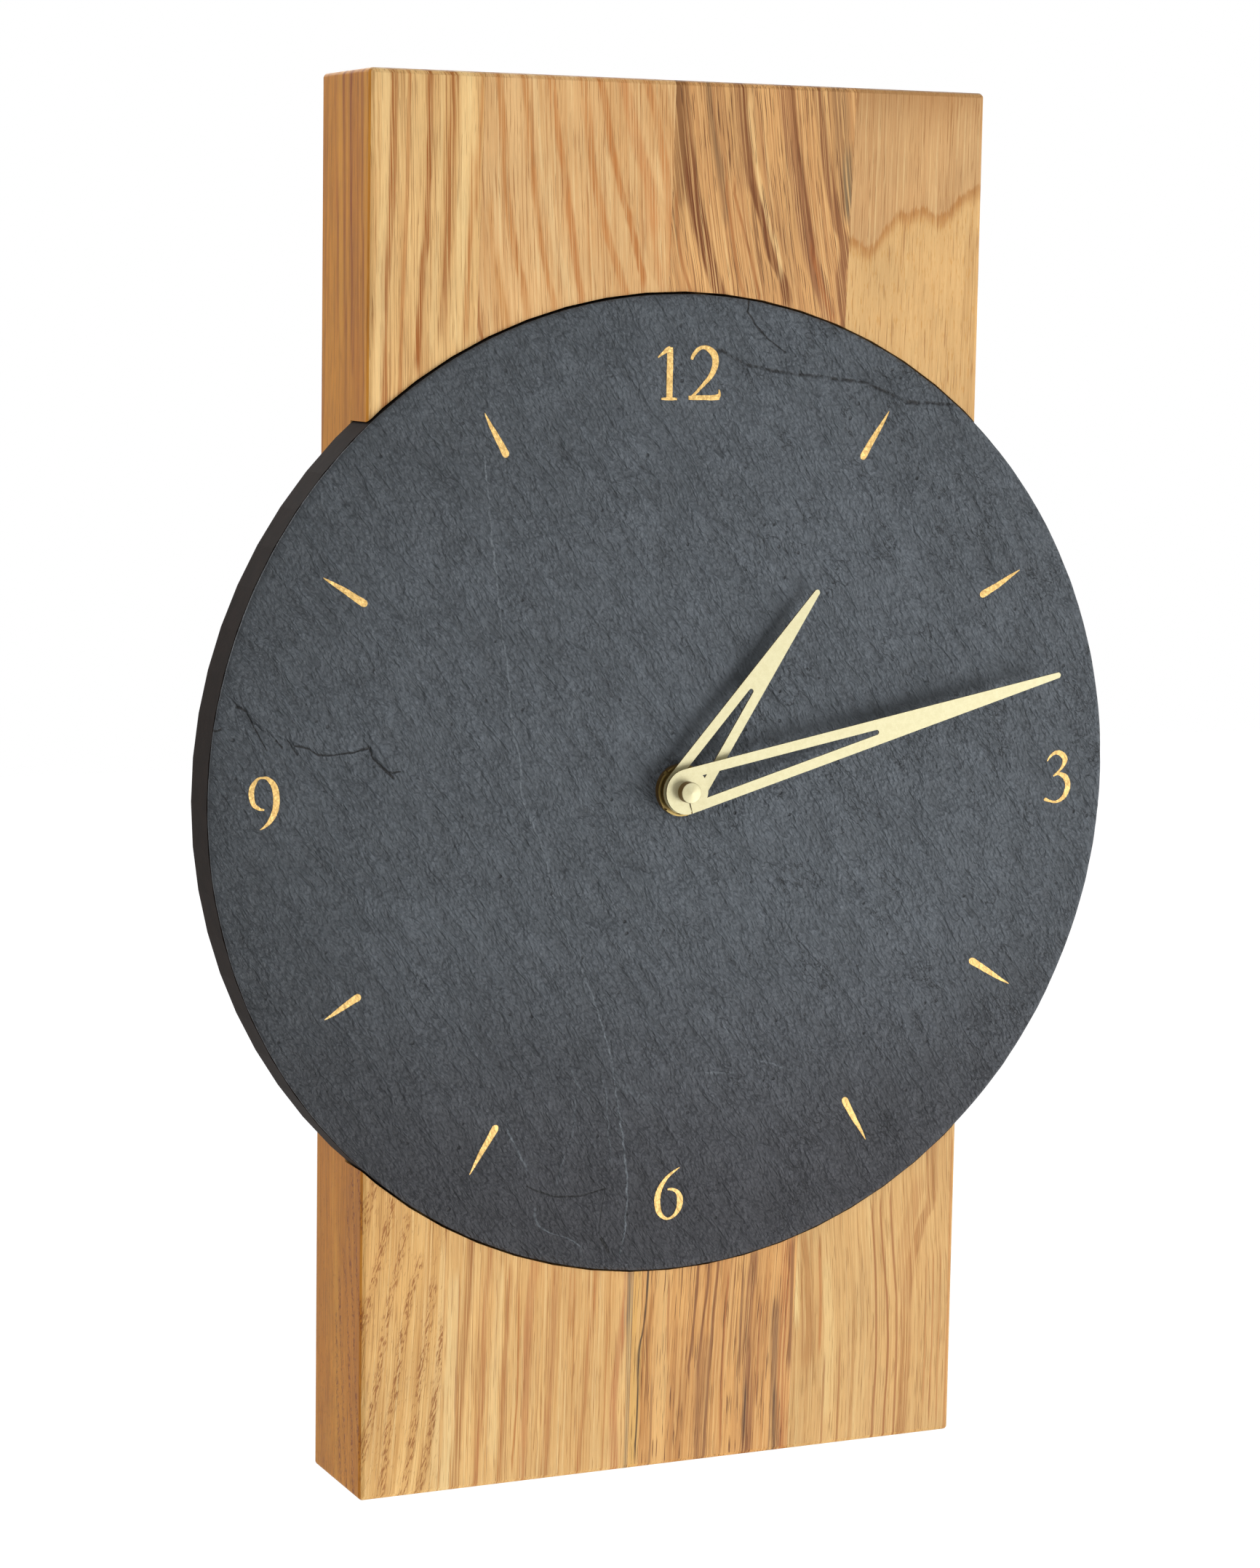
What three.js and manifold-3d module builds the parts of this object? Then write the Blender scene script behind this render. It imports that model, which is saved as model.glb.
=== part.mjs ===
// Wall clock: a round slate dial set into a block of glued oak staves, with a battery movement behind it.
// Millimetres, +Z up, +X to the right seen from the front, the front looks towards -Y.
// The origin is on the hanger plate, in the plane of the back face, so y = 0 is the wall.
import * as THREE from 'three';
import { mergeVertices } from 'three/addons/utils/BufferGeometryUtils.js';
import Module from 'manifold-3d';

const wasm = await Module();
wasm.setup();

// Oak block
const BOARD_WIDTH = 202.5;
const BOARD_HEIGHT = 426;
const BOARD_DEPTH = 41;
const BOARD_ROUND = 1.5;
const HANGER_BELOW_TOP = 45;
const GLUE_LINE = 0.1;
// Where the glue lines cross the top and the bottom edge, from the middle of the board
const GLUE_LINES_TOP = [-65.4, -4.1, 56.6];
const GLUE_LINES_BOTTOM = [-76.1, -12.8, 42.9];

// Round dial
const DIAL_DIAMETER = 300;
const SLATE_THICKNESS = 2;
const BACKING_THICKNESS = 14.5;
const RECESS_DEPTH = 14.5;
const RECESS_CLEARANCE = 0.6;
const SLATE_INSET = 0.4;
const DIAL_FACETS = 72;

// Screws that hold the dial from behind
const DIAL_SCREW_X = 36;
const DIAL_SCREW_Z = 95;
const DIAL_SCREW_DIAMETER = 3.5;
const DIAL_SCREW_LENGTH = 35;
const DIAL_SCREW_HEAD = 7;
const SCREW_SUNK = 0.3;
const SCREW_CLEARANCE = 0.25;
const THREAD_CLEARANCE = 0.05;

// Keyhole hanger
const HANGER_HEIGHT = 56;
const HANGER_WIDTH = 18;
const HANGER_THICKNESS = 1.5;
const HANGER_ABOVE_ORIGIN = 14;
const HANGER_CLEARANCE = 0.3;
const KEYHOLE_SLOT_WIDTH = 4.6;
const KEYHOLE_ENTRY_DIAMETER = 9.5;
const KEYHOLE_NECK_Z = -5;
const KEYHOLE_TRAVEL = 12;
const KEYHOLE_ROOM = 2.75;
const KEYHOLE_DEPTH = 9;
const HANGER_SCREW_DIAMETER = 3;
const HANGER_SCREW_HEAD = 5.5;
const HANGER_SCREW_LENGTH = 16;
const HANGER_SCREW_INSET = 6;

// Hands, with their distance in front of the slate
const HOUR_HAND_LENGTH = 75;
const MINUTE_HAND_LENGTH = 134;
const HAND_HUB_RADIUS = 7;
const HAND_LEG_WIDTH = 3.15;
const HAND_TIP_RADIUS = 0.9;
const HAND_WINDOW_END_RADIUS = 0.8;
const HAND_THICKNESS = 0.5;
const HAND_SLIT_WIDTH = 0.45;
const HOUR_HAND_STANDOFF = 3.2;
const HAND_SPACING = 1.7;
const REST_MINUTES = 12 + 2 / 3;
const REST_HOUR = 1;

// Cap and round nut on the hub
const CAP_DIAMETER = 6.4;
const CAP_HEIGHT = 3.5;
const CAP_CONE = 0.5;
const CAP_WALL = 1.2;
const NUT_DIAMETER = 16;
const NUT_HEIGHT = 2.2;
const NUT_RIM = 0.6;
const NUT_DISH = 1;
const NUT_NOTCHES = 4;
const NUT_NOTCH_WIDTH = 1.3;
const NUT_NOTCH_ANGLE = -44;
const WASHER_THICKNESS = 1;
const WASHER_DIAMETER = 20;

// Movement case
const CASE_WALL = 1.2;
const COVER_WALL = 1;
const CASE_CORNER = 3;
const CASE_FRONT_DEPTH = 10;
const PARTITION = 0.8;
const POCKET_CLEARANCE = 4;
const POCKET_CORNER = 8;
const BUSH_DIAMETER = 7.9;
const BUSH_PROUD = 0.4;
const RUNNING = 0.1;
const PLAY = 0.3;

// Battery and its contacts
const BATTERY_LENGTH = 50.5;
const BATTERY_DIAMETER = 14.2;
const BATTERY_NUB_DIAMETER = 5.5;
const BATTERY_NUB_LENGTH = 1.3;
const BATTERY_CLEARANCE = 0.1;
const BATTERY_LIP = 0.4;
const CONTACT_ROOM = 3.1;
const CONTACT_THICKNESS = 0.4;
const CONTACT_WIDTH = 8;
const CONTACT_TAB = 4;
const CONTACT_LAP = 1;

// Gear train: teeth, and the distances between the axes
const HOUR_TEETH = 40;
const MOTION_PINION_TEETH = 10;
const MOTION_WHEEL_TEETH = 36;
const CANNON_TEETH = 12;
const SETTING_TEETH = 12;
const CENTRE_TEETH = 64;
const THIRD_PINION_TEETH = 8;
const THIRD_TEETH = 60;
const SECONDS_PINION_TEETH = 8;
const SECONDS_TEETH = 48;
const STEP_PINION_TEETH = 8;
const STEP_TEETH = 40;
const ROTOR_TEETH = 8;
const MOTION_DISTANCE = 8.4;
const THIRD_DISTANCE = 10.8;
const STEP_DISTANCE = 8.4;
const ROTOR_DISTANCE = 6;
const GEAR_THICKNESS = 0.7;
const LEVEL_GAP = 0.5;
const WHEEL_ROOM = 1.74;

// Shafts of the train
const HOUR_TUBE_DIAMETER = 5;
const MINUTE_ARBOR_DIAMETER = 3.1;
const MINUTE_BORE_DIAMETER = 1.2;
const MINUTE_THREAD_DIAMETER = 2.5;
const STUD_DIAMETER = 1.4;
const ARBOR_DIAMETER = 1;
const STEM_DIAMETER = 2;
const PIVOT_DEPTH = 0.5;
const BOSS_RADIUS = 1.8;
const ARBOR_REACH = 1.5;
const CLUTCH_NECK_DIAMETER = 2.4;

// Plate, motor, circuit and setting knob
const PLATE_THICKNESS = 0.8;
const POST_RADIUS = 2.2;
const POST_INSET = 1.6;
const LOW_POST_INSET = 0.5;
const PIN_RADIUS = 1.2;
const MAGNET_DIAMETER = 6;
const MAGNET_THICKNESS = 2;
const STATOR_THICKNESS = 0.6;
const STATOR_AIR_GAP = 0.5;
const STATOR_WEB = 1;
const STATOR_LEG = 3.5;
const COIL_LENGTH = 19;
const COIL_RADIUS = 3.5;
const COIL_ABOVE_ROTOR = 8.6;
const BOBBIN_WALL = 0.6;
const BOBBIN_BORE_RADIUS = 2;
const FLANGE_RADIUS = 3.7;
const CORE_WIDTH = 3;
const CORE_THICKNESS = 0.8;
const CIRCUIT_THICKNESS = 0.8;
const CIRCUIT_HEIGHT = 7.4;
const CRYSTAL_DIAMETER = 2.1;
const CRYSTAL_LENGTH = 6.2;
const CRYSTAL_X = 5;
const KNOB_DIAMETER = 9;
const KNOB_HEIGHT = 2.6;
const KNOB_RIBS = 16;

// How far cutting pieces run past what they cut
const PAST = 5;

// Places that follow from the sizes above. y grows towards the wall, z is measured from the hub
const boardTop = HANGER_BELOW_TOP;
const boardBottom = boardTop - BOARD_HEIGHT;
const hubZ = (boardTop + boardBottom) / 2;
const boardFront = -BOARD_DEPTH;
const recessFloor = boardFront + RECESS_DEPTH;
const backingFront = recessFloor - BACKING_THICKNESS;
const slateFront = backingFront - SLATE_THICKNESS;
const recessRadius = DIAL_DIAMETER / 2 + RECESS_CLEARANCE;
const caseFront = recessFloor + WASHER_THICKNESS;
const caseDepth = CASE_WALL + 2 * BATTERY_CLEARANCE + BATTERY_DIAMETER + BATTERY_LIP;
const caseBack = caseFront + caseDepth;
const coverFront = caseFront + CASE_FRONT_DEPTH;
const bushFront = slateFront - NUT_HEIGHT - BUSH_PROUD;

// Colours
const oakLight = new THREE.MeshStandardMaterial({ color: 0xd9b27a, roughness: 0.55 });
const oakPink = new THREE.MeshStandardMaterial({ color: 0xd3a36f, roughness: 0.55 });
const oakDark = new THREE.MeshStandardMaterial({ color: 0xb98a55, roughness: 0.55 });
const slateGrey = new THREE.MeshStandardMaterial({ color: 0x4b4e52, roughness: 0.75 });
const dyedBoard = new THREE.MeshStandardMaterial({ color: 0x2b2422, roughness: 0.7 });
const paleBrass = new THREE.MeshStandardMaterial({ color: 0xe6dca6, roughness: 0.35, metalness: 0.9 });
const brass = new THREE.MeshStandardMaterial({ color: 0xc9a45a, roughness: 0.35, metalness: 1 });
const steel = new THREE.MeshStandardMaterial({ color: 0xa9adb2, roughness: 0.4, metalness: 1 });
const copper = new THREE.MeshStandardMaterial({ color: 0xb5673a, roughness: 0.45, metalness: 1 });
const blackPlastic = new THREE.MeshStandardMaterial({ color: 0x1d1d1f, roughness: 0.6 });
const whitePlastic = new THREE.MeshStandardMaterial({ color: 0xe8e6df, roughness: 0.5 });
const blackRubber = new THREE.MeshStandardMaterial({ color: 0x222222, roughness: 0.9 });
const circuitGreen = new THREE.MeshStandardMaterial({ color: 0x2f6b45, roughness: 0.6 });
const batteryBlue = new THREE.MeshStandardMaterial({ color: 0x3b4a63, roughness: 0.4 });

const clock = new THREE.Group();

function add(name, geometry, material) {
  const mesh = new THREE.Mesh(geometry, material);
  mesh.name = name;
  clock.add(mesh);
}

// Welds a geometry into one closed skin and drops the triangles that have no area
function weld(geometry) {
  const bare = geometry.clone();
  bare.deleteAttribute('normal');
  bare.deleteAttribute('uv');
  const merged = mergeVertices(bare, 1e-4);
  const kept = [];
  const index = merged.index.array;
  for (let i = 0; i < index.length; i += 3) {
    const [a, b, c] = [index[i], index[i + 1], index[i + 2]];
    if (a !== b && b !== c && c !== a) kept.push(a, b, c);
  }
  merged.setIndex(kept);
  return merged;
}

function toSolid(geometry) {
  const skin = weld(geometry);
  const vertProperties = new Float32Array(skin.attributes.position.array);
  const triVerts = new Uint32Array(skin.index.array);
  return new wasm.Manifold(new wasm.Mesh({ numProp: 3, vertProperties, triVerts }));
}

function toGeometry(solid) {
  const mesh = solid.getMesh();
  const geometry = new THREE.BufferGeometry();
  geometry.setAttribute('position', new THREE.BufferAttribute(mesh.vertProperties, 3));
  geometry.setIndex(new THREE.BufferAttribute(mesh.triVerts, 1));
  return geometry;
}

const cut = (geometry, ...tools) =>
  toGeometry(tools.reduce((left, tool) => left.subtract(toSolid(tool)), toSolid(geometry)));
const join = (...parts) => toGeometry(parts.map(toSolid).reduce((a, b) => a.add(b)));

// A flat piece: a shape drawn in X and Z, from its front face at y = front to y = back
function plate(shape, front, back, options = {}) {
  const geometry = new THREE.ExtrudeGeometry(shape, {
    depth: back - front, bevelEnabled: false, curveSegments: 8, ...options,
  });
  return geometry.rotateX(Math.PI / 2).translate(0, back, 0);
}

const moved = (geometry, x, z) => geometry.translate(x, 0, z);

// Rotates a geometry about the Y axis, clockwise as seen from the front
const turned = (geometry, degrees) => geometry.rotateY(THREE.MathUtils.degToRad(degrees));

// A turned piece about the Y axis: closed profile of [radius, y], counter-clockwise
function lathe(profile, facets = 24) {
  const points = profile.map(([r, y]) => new THREE.Vector2(r, y));
  return weld(new THREE.LatheGeometry([...points, points[0]], facets));
}

// A tube or, with no bore, a solid rod. A bore is drawn round its circle, so that a round shaft clears it
function tube(radius, bore, front, back, facets = 24) {
  const inner = bore / Math.cos(Math.PI / facets);
  if (!bore) return lathe([[0, front], [radius, front], [radius, back], [0, back]], facets);
  return lathe([[inner, front], [radius, front], [radius, back], [inner, back]], facets);
}

const box = (x0, x1, y0, y1, z0, z1) =>
  new THREE.BoxGeometry(x1 - x0, y1 - y0, z1 - z0).translate((x0 + x1) / 2, (y0 + y1) / 2, (z0 + z1) / 2);

function roundedRectangle(x0, x1, z0, z1, r) {
  const shape = new THREE.Shape();
  shape.absarc(x1 - r, z1 - r, r, 0, Math.PI / 2);
  shape.absarc(x0 + r, z1 - r, r, Math.PI / 2, Math.PI);
  shape.absarc(x0 + r, z0 + r, r, Math.PI, 1.5 * Math.PI);
  shape.absarc(x1 - r, z0 + r, r, 1.5 * Math.PI, 2 * Math.PI);
  shape.closePath();
  return shape;
}

// A countersunk wood screw about the Y axis: the head's flat face at y = back, the point towards the front
function woodScrew(diameter, head, length, back) {
  const r = diameter / 2;
  const coneEnd = back - (head - diameter) / 2;
  const tipStart = back - length + diameter;
  return lathe([[0, back - length], [r, tipStart], [r, coneEnd], [head / 2, back], [0, back]], 12);
}

// The hole that a wood screw sits in, open at y = mouth
function screwHole(diameter, head, front, back, mouth, clearance) {
  const r = diameter / 2 + clearance;
  const rim = head / 2 + clearance;
  const coneEnd = back - (head - diameter) / 2;
  return lathe([[0, front], [r, front], [r, coneEnd], [rim, back], [rim, mouth], [0, mouth]], 12);
}

// Oak staves

function roundedBlock() {
  const half = BOARD_WIDTH / 2;
  const outline = roundedRectangle(
    -half + BOARD_ROUND, half - BOARD_ROUND, boardBottom + BOARD_ROUND, boardTop - BOARD_ROUND, 0.01);
  return plate(outline, boardFront + BOARD_ROUND, -BOARD_ROUND, {
    bevelEnabled: true, bevelThickness: BOARD_ROUND, bevelSize: BOARD_ROUND, bevelSegments: 2, curveSegments: 3,
  });
}

// The prism between two glue lines. Outside the first and last line it runs past the board
function staveBlank(number) {
  const half = BOARD_WIDTH / 2 + PAST;
  const top = [-half, ...GLUE_LINES_TOP, half];
  const bottom = [-half, ...GLUE_LINES_BOTTOM, half];
  const shape = new THREE.Shape();
  const slope = (i) => (top[i] - bottom[i]) / BOARD_HEIGHT * PAST;
  const gap = GLUE_LINE / 2;
  shape.moveTo(bottom[number] - slope(number) + gap, boardBottom - PAST);
  shape.lineTo(bottom[number + 1] - slope(number + 1) - gap, boardBottom - PAST);
  shape.lineTo(top[number + 1] + slope(number + 1) - gap, boardTop + PAST);
  shape.lineTo(top[number] + slope(number) + gap, boardTop + PAST);
  shape.closePath();
  return plate(shape, boardFront - PAST, PAST);
}

const keyholeEntryZ = KEYHOLE_NECK_Z - KEYHOLE_TRAVEL;
const hangerTop = HANGER_ABOVE_ORIGIN;
const hangerBottom = hangerTop - HANGER_HEIGHT;
const hangerScrewZ = [hangerTop - HANGER_SCREW_INSET, hangerBottom + HANGER_SCREW_INSET];
const dialScrewPlaces = [];
for (const x of [-DIAL_SCREW_X, DIAL_SCREW_X])
  for (const z of [-DIAL_SCREW_Z, DIAL_SCREW_Z]) dialScrewPlaces.push([x, hubZ + z]);

// The movement's outline seen from the front, from the train that it holds
const moduleOf = (distance, teethA, teethB) => 2 * distance / (teethA + teethB);
const centreModule = moduleOf(THIRD_DISTANCE, CENTRE_TEETH, THIRD_PINION_TEETH);
const thirdModule = moduleOf(THIRD_DISTANCE, THIRD_TEETH, SECONDS_PINION_TEETH);
const rotorZ = STEP_DISTANCE + ROTOR_DISTANCE;
const coilZ = rotorZ + COIL_ABOVE_ROTOR;
const caseHalfWidth = (BATTERY_LENGTH + CONTACT_ROOM) / 2 + CASE_WALL;
const trainRoom = centreModule * CENTRE_TEETH / 2 + centreModule + WHEEL_ROOM - 0.04;
const bayTop = -trainRoom - PARTITION;
const bayBottom = bayTop - BATTERY_DIAMETER - 2 * BATTERY_CLEARANCE;
const caseBottom = bayBottom - CASE_WALL;
const caseTop = coilZ + FLANGE_RADIUS + RUNNING + CASE_WALL;

function boardCutters() {
  const recess = moved(tube(recessRadius, 0, boardFront - PAST, recessFloor, DIAL_FACETS), 0, hubZ);
  const pocket = plate(roundedRectangle(
    -caseHalfWidth - POCKET_CLEARANCE, caseHalfWidth + POCKET_CLEARANCE,
    hubZ + caseBottom - POCKET_CLEARANCE, hubZ + caseTop + POCKET_CLEARANCE, POCKET_CORNER,
  ), boardFront, PAST, { curveSegments: 4 });
  const c = HANGER_CLEARANCE;
  const mortise = plate(roundedRectangle(
    -HANGER_WIDTH / 2 - c, HANGER_WIDTH / 2 + c, hangerBottom - c, hangerTop + c, HANGER_WIDTH / 2,
  ), -HANGER_THICKNESS, PAST, { curveSegments: 6 });
  const headRoom = KEYHOLE_ENTRY_DIAMETER / 2 + KEYHOLE_ROOM;
  const keyhole = plate(roundedRectangle(
    -headRoom, headRoom, keyholeEntryZ - headRoom, KEYHOLE_NECK_Z + headRoom, headRoom - 0.01,
  ), -HANGER_THICKNESS - KEYHOLE_DEPTH, -HANGER_THICKNESS, { curveSegments: 4 });
  const dialHoles = dialScrewPlaces.map(([x, z]) => moved(screwHole(
    DIAL_SCREW_DIAMETER, DIAL_SCREW_HEAD, boardFront, -SCREW_SUNK, PAST, SCREW_CLEARANCE), x, z));
  const hangerHoles = hangerScrewZ.map((z) => moved(tube(
    HANGER_SCREW_DIAMETER / 2 + THREAD_CLEARANCE, 0, -HANGER_SCREW_LENGTH - 1, 0, 12), 0, z));
  return [recess, pocket, mortise, keyhole, ...dialHoles, ...hangerHoles];
}

function addBoard() {
  const block = toSolid(roundedBlock());
  const machined = boardCutters().reduce((left, tool) => left.subtract(toSolid(tool)), block);
  const colours = [oakLight, oakPink, oakDark, oakLight];
  colours.forEach((colour, number) => {
    const stave = machined.intersect(toSolid(staveBlank(number)));
    add(`stave_${number + 1}`, toGeometry(stave), colour);
  });
}

// Steel plate with a keyhole, let into the back and held by two screws
function addHanger() {
  const outline = roundedRectangle(
    -HANGER_WIDTH / 2, HANGER_WIDTH / 2, hangerBottom, hangerTop, HANGER_WIDTH / 2 - 0.01);
  const slot = KEYHOLE_SLOT_WIDTH / 2;
  const entry = KEYHOLE_ENTRY_DIAMETER / 2;
  const meet = Math.asin(slot / entry);
  const keyhole = new THREE.Path();
  keyhole.absarc(0, KEYHOLE_NECK_Z, slot, 0, Math.PI);
  keyhole.absarc(0, keyholeEntryZ, entry, Math.PI / 2 + meet, Math.PI / 2 - meet + 2 * Math.PI);
  keyhole.closePath();
  outline.holes.push(keyhole);
  const blank = plate(outline, -HANGER_THICKNESS, 0, { curveSegments: 5 });
  const holes = hangerScrewZ.map((z) => moved(screwHole(
    HANGER_SCREW_DIAMETER, HANGER_SCREW_HEAD, -PAST, -SCREW_SUNK, PAST, SCREW_CLEARANCE), 0, z));
  add('hanger_plate', cut(blank, ...holes), steel);
  hangerScrewZ.forEach((z, number) => add(`hanger_screw_${number + 1}`, moved(woodScrew(
    HANGER_SCREW_DIAMETER, HANGER_SCREW_HEAD, HANGER_SCREW_LENGTH, -SCREW_SUNK), 0, z), steel));
}

// Slate bonded to a dyed board, bored for the movement's bush
function addDial() {
  const r = DIAL_DIAMETER / 2;
  const bore = BUSH_DIAMETER / 2 + SCREW_CLEARANCE;
  const disc = moved(lathe([
    [bore, backingFront], [r, backingFront], [r, recessFloor], [bore, recessFloor],
  ], DIAL_FACETS), 0, hubZ);
  const pilots = dialScrewPlaces.map(([x, z]) => moved(tube(
    DIAL_SCREW_DIAMETER / 2 + THREAD_CLEARANCE, 0,
    -SCREW_SUNK - DIAL_SCREW_LENGTH - 1, recessFloor + 1, 12), x, z));
  add('dial_backing', cut(disc, ...pilots), dyedBoard);
  const edge = r - SLATE_INSET;
  add('dial_slate', moved(lathe([
    [bore, slateFront], [edge - SLATE_INSET, slateFront], [edge, slateFront + SLATE_INSET],
    [edge, backingFront], [bore, backingFront],
  ], DIAL_FACETS), 0, hubZ), slateGrey);
  dialScrewPlaces.forEach(([x, z], number) => add(`dial_screw_${number + 1}`, moved(woodScrew(
    DIAL_SCREW_DIAMETER, DIAL_SCREW_HEAD, DIAL_SCREW_LENGTH, -SCREW_SUNK), x, z), steel));
}

// Where the hands sit
const hourHandBack = slateFront - HOUR_HAND_STANDOFF;
const hourHandFront = hourHandBack - HAND_THICKNESS;
const minuteHandBack = hourHandFront - HAND_SPACING;
const minuteHandFront = minuteHandBack - HAND_THICKNESS;
const minuteAngle = REST_MINUTES * 6;
const hourAngle = (REST_HOUR + REST_MINUTES / 60) * 30;

// A hand pointing up: a round hub, straight sides that close on a round tip, and a long window between two legs
function handShape(length, bore) {
  const tipZ = length - HAND_TIP_RADIUS;
  const lean = Math.asin((HAND_HUB_RADIUS - HAND_TIP_RADIUS) / tipZ);
  const shape = new THREE.Shape();
  shape.absarc(0, 0, HAND_HUB_RADIUS, Math.PI - lean, 2 * Math.PI + lean);
  shape.absarc(0, tipZ, HAND_TIP_RADIUS, lean, Math.PI - lean);
  shape.closePath();
  const inner = HAND_HUB_RADIUS - HAND_LEG_WIDTH;
  const endZ = (inner - HAND_WINDOW_END_RADIUS) / Math.sin(lean);
  const half = Math.PI / 2 - lean - Math.acos(inner / HAND_HUB_RADIUS);
  const window = new THREE.Path();
  window.absarc(0, endZ, HAND_WINDOW_END_RADIUS, lean, Math.PI - lean);
  window.absarc(0, 0, HAND_HUB_RADIUS, Math.PI / 2 + half, Math.PI / 2 - half, true);
  window.closePath();
  shape.holes.push(window);
  const hole = new THREE.Path();
  hole.absarc(0, 0, bore, 0, 2 * Math.PI);
  shape.holes.push(hole);
  return shape;
}

function addHands() {
  const hour = plate(handShape(HOUR_HAND_LENGTH, HOUR_TUBE_DIAMETER / 2 + THREAD_CLEARANCE),
    hourHandFront, hourHandBack, { curveSegments: 8 });
  add('hour_hand', moved(turned(hour, hourAngle), 0, hubZ), paleBrass);
  const solid = plate(handShape(MINUTE_HAND_LENGTH, MINUTE_THREAD_DIAMETER / 2 + THREAD_CLEARANCE),
    minuteHandFront, minuteHandBack, { curveSegments: 8 });
  const slit = box(0, HAND_HUB_RADIUS + 1, minuteHandFront - 1, minuteHandBack + 1,
    -HAND_SLIT_WIDTH / 2, HAND_SLIT_WIDTH / 2);
  add('minute_hand', moved(turned(cut(solid, slit), minuteAngle), 0, hubZ), paleBrass);
}

function addHubTrim() {
  const capBack = minuteHandFront;
  const capFront = capBack - CAP_HEIGHT;
  const r = CAP_DIAMETER / 2;
  const bore = MINUTE_THREAD_DIAMETER / 2 + THREAD_CLEARANCE;
  add('cap_nut', moved(lathe([
    [0, capFront], [r, capFront + CAP_CONE], [r, capBack], [bore, capBack],
    [bore, capFront + CAP_CONE + CAP_WALL - RUNNING], [0, capFront + CAP_CONE + CAP_WALL - RUNNING],
  ]), 0, hubZ), paleBrass);
  const nutFront = slateFront - NUT_HEIGHT;
  const rim = NUT_DIAMETER / 2;
  const nutBore = BUSH_DIAMETER / 2 + THREAD_CLEARANCE;
  const nut = lathe([
    [nutBore, nutFront + NUT_DISH], [rim - NUT_RIM, nutFront + NUT_DISH], [rim - NUT_RIM, nutFront],
    [rim, nutFront], [rim, slateFront], [nutBore, slateFront],
  ], 32);
  const notches = [];
  for (let i = 0; i < NUT_NOTCHES; i += 1) {
    const notch = box(-NUT_NOTCH_WIDTH / 2, NUT_NOTCH_WIDTH / 2, nutFront - 1, nutFront + NUT_DISH,
      rim - 2 * NUT_RIM, rim + 1);
    notches.push(turned(notch, NUT_NOTCH_ANGLE + i * 360 / NUT_NOTCHES));
  }
  add('round_nut', moved(cut(nut, ...notches), 0, hubZ), brass);
  add('rubber_washer', moved(tube(WASHER_DIAMETER / 2, BUSH_DIAMETER / 2 + THREAD_CLEARANCE,
    recessFloor, caseFront), 0, hubZ), blackRubber);
}

// Gears
const ADDENDUM = 0.85;
const DEDENDUM = 1.25;
const WHEEL_DEDENDUM = 1.55;
const TOOTH_AT_ROOT = 0.42;
const TOOTH_AT_TIP = 0.14;
const PINION_TEETH_BELOW = 20;
const BORE_FACETS = 16;

// One gear, with a tooth centred at the given angle, clockwise from the top. Tooth widths are shares of the
// pitch. A pinion has flat-bottomed gaps, and a wheel, with its many teeth, has sharp ones
function gear(teeth, module, front, back, phase, bore) {
  const pitchRadius = teeth * module / 2;
  const tip = pitchRadius + ADDENDUM * module;
  const isPinion = teeth < PINION_TEETH_BELOW;
  const root = pitchRadius - (isPinion ? DEDENDUM : WHEEL_DEDENDUM) * module;
  const halfWidth = (share, r) => share * Math.PI * module / 2 / r;
  const points = [];
  for (let i = 0; i < teeth; i += 1) {
    const middle = 2 * Math.PI * i / teeth;
    const tipHalf = halfWidth(TOOTH_AT_TIP, tip);
    const rootHalf = halfWidth(TOOTH_AT_ROOT, root);
    const start = isPinion ? [[root, middle - rootHalf]] : [[root, middle - Math.PI / teeth]];
    const end = isPinion ? [[root, middle + rootHalf]] : [];
    for (const [r, angle] of [...start, [tip, middle - tipHalf], [tip, middle + tipHalf], ...end])
      points.push(new THREE.Vector2(r * Math.sin(angle), r * Math.cos(angle)));
  }
  const shape = new THREE.Shape(points.reverse());
  if (bore) {
    const hole = new THREE.Path();
    hole.absarc(0, 0, bore / Math.cos(Math.PI / BORE_FACETS), 0, 2 * Math.PI);
    shape.holes.push(hole);
  }
  return turned(plate(shape, front, back, { curveSegments: BORE_FACETS / 2 }), phase);
}

// The phase of a gear that meshes with another one, which lies the other way along the line of centres
const meshPhase = (phase, teeth, direction, otherTeeth) =>
  direction + 180 - (phase - direction) * teeth / otherTeeth + 180 / otherTeeth;

const LEFT = 270;
const RIGHT = 90;
const UP = 0;

// Depths of the train's levels, from the case's front face
const hourFront = caseFront + CASE_WALL + PLAY;
const hourBack = hourFront + GEAR_THICKNESS;
const motionFront = hourBack + LEVEL_GAP;
const motionBack = motionFront + GEAR_THICKNESS;
const cannonFront = motionFront - PLAY / 2;
const cannonBack = motionBack + PLAY / 2;
const centreFront = motionBack + LEVEL_GAP;
const centreBack = centreFront + GEAR_THICKNESS;
const plateFront = centreBack + LEVEL_GAP;
const plateBack = plateFront + PLATE_THICKNESS;
const thirdFront = plateBack + LEVEL_GAP;
const thirdBack = thirdFront + GEAR_THICKNESS;
const secondsFront = thirdBack + 2 * LEVEL_GAP;
const secondsBack = secondsFront + GEAR_THICKNESS;
const stepFront = secondsBack + LEVEL_GAP;
const stepBack = stepFront + GEAR_THICKNESS;
const bossFront = stepBack + 2 * LEVEL_GAP;
const stemX = -2 * MOTION_DISTANCE;
const arbor = ARBOR_DIAMETER / 2;
const innerFront = caseFront + CASE_WALL;

const hub = (geometry, x = 0, z = 0) => moved(geometry, x, hubZ + z);

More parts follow.
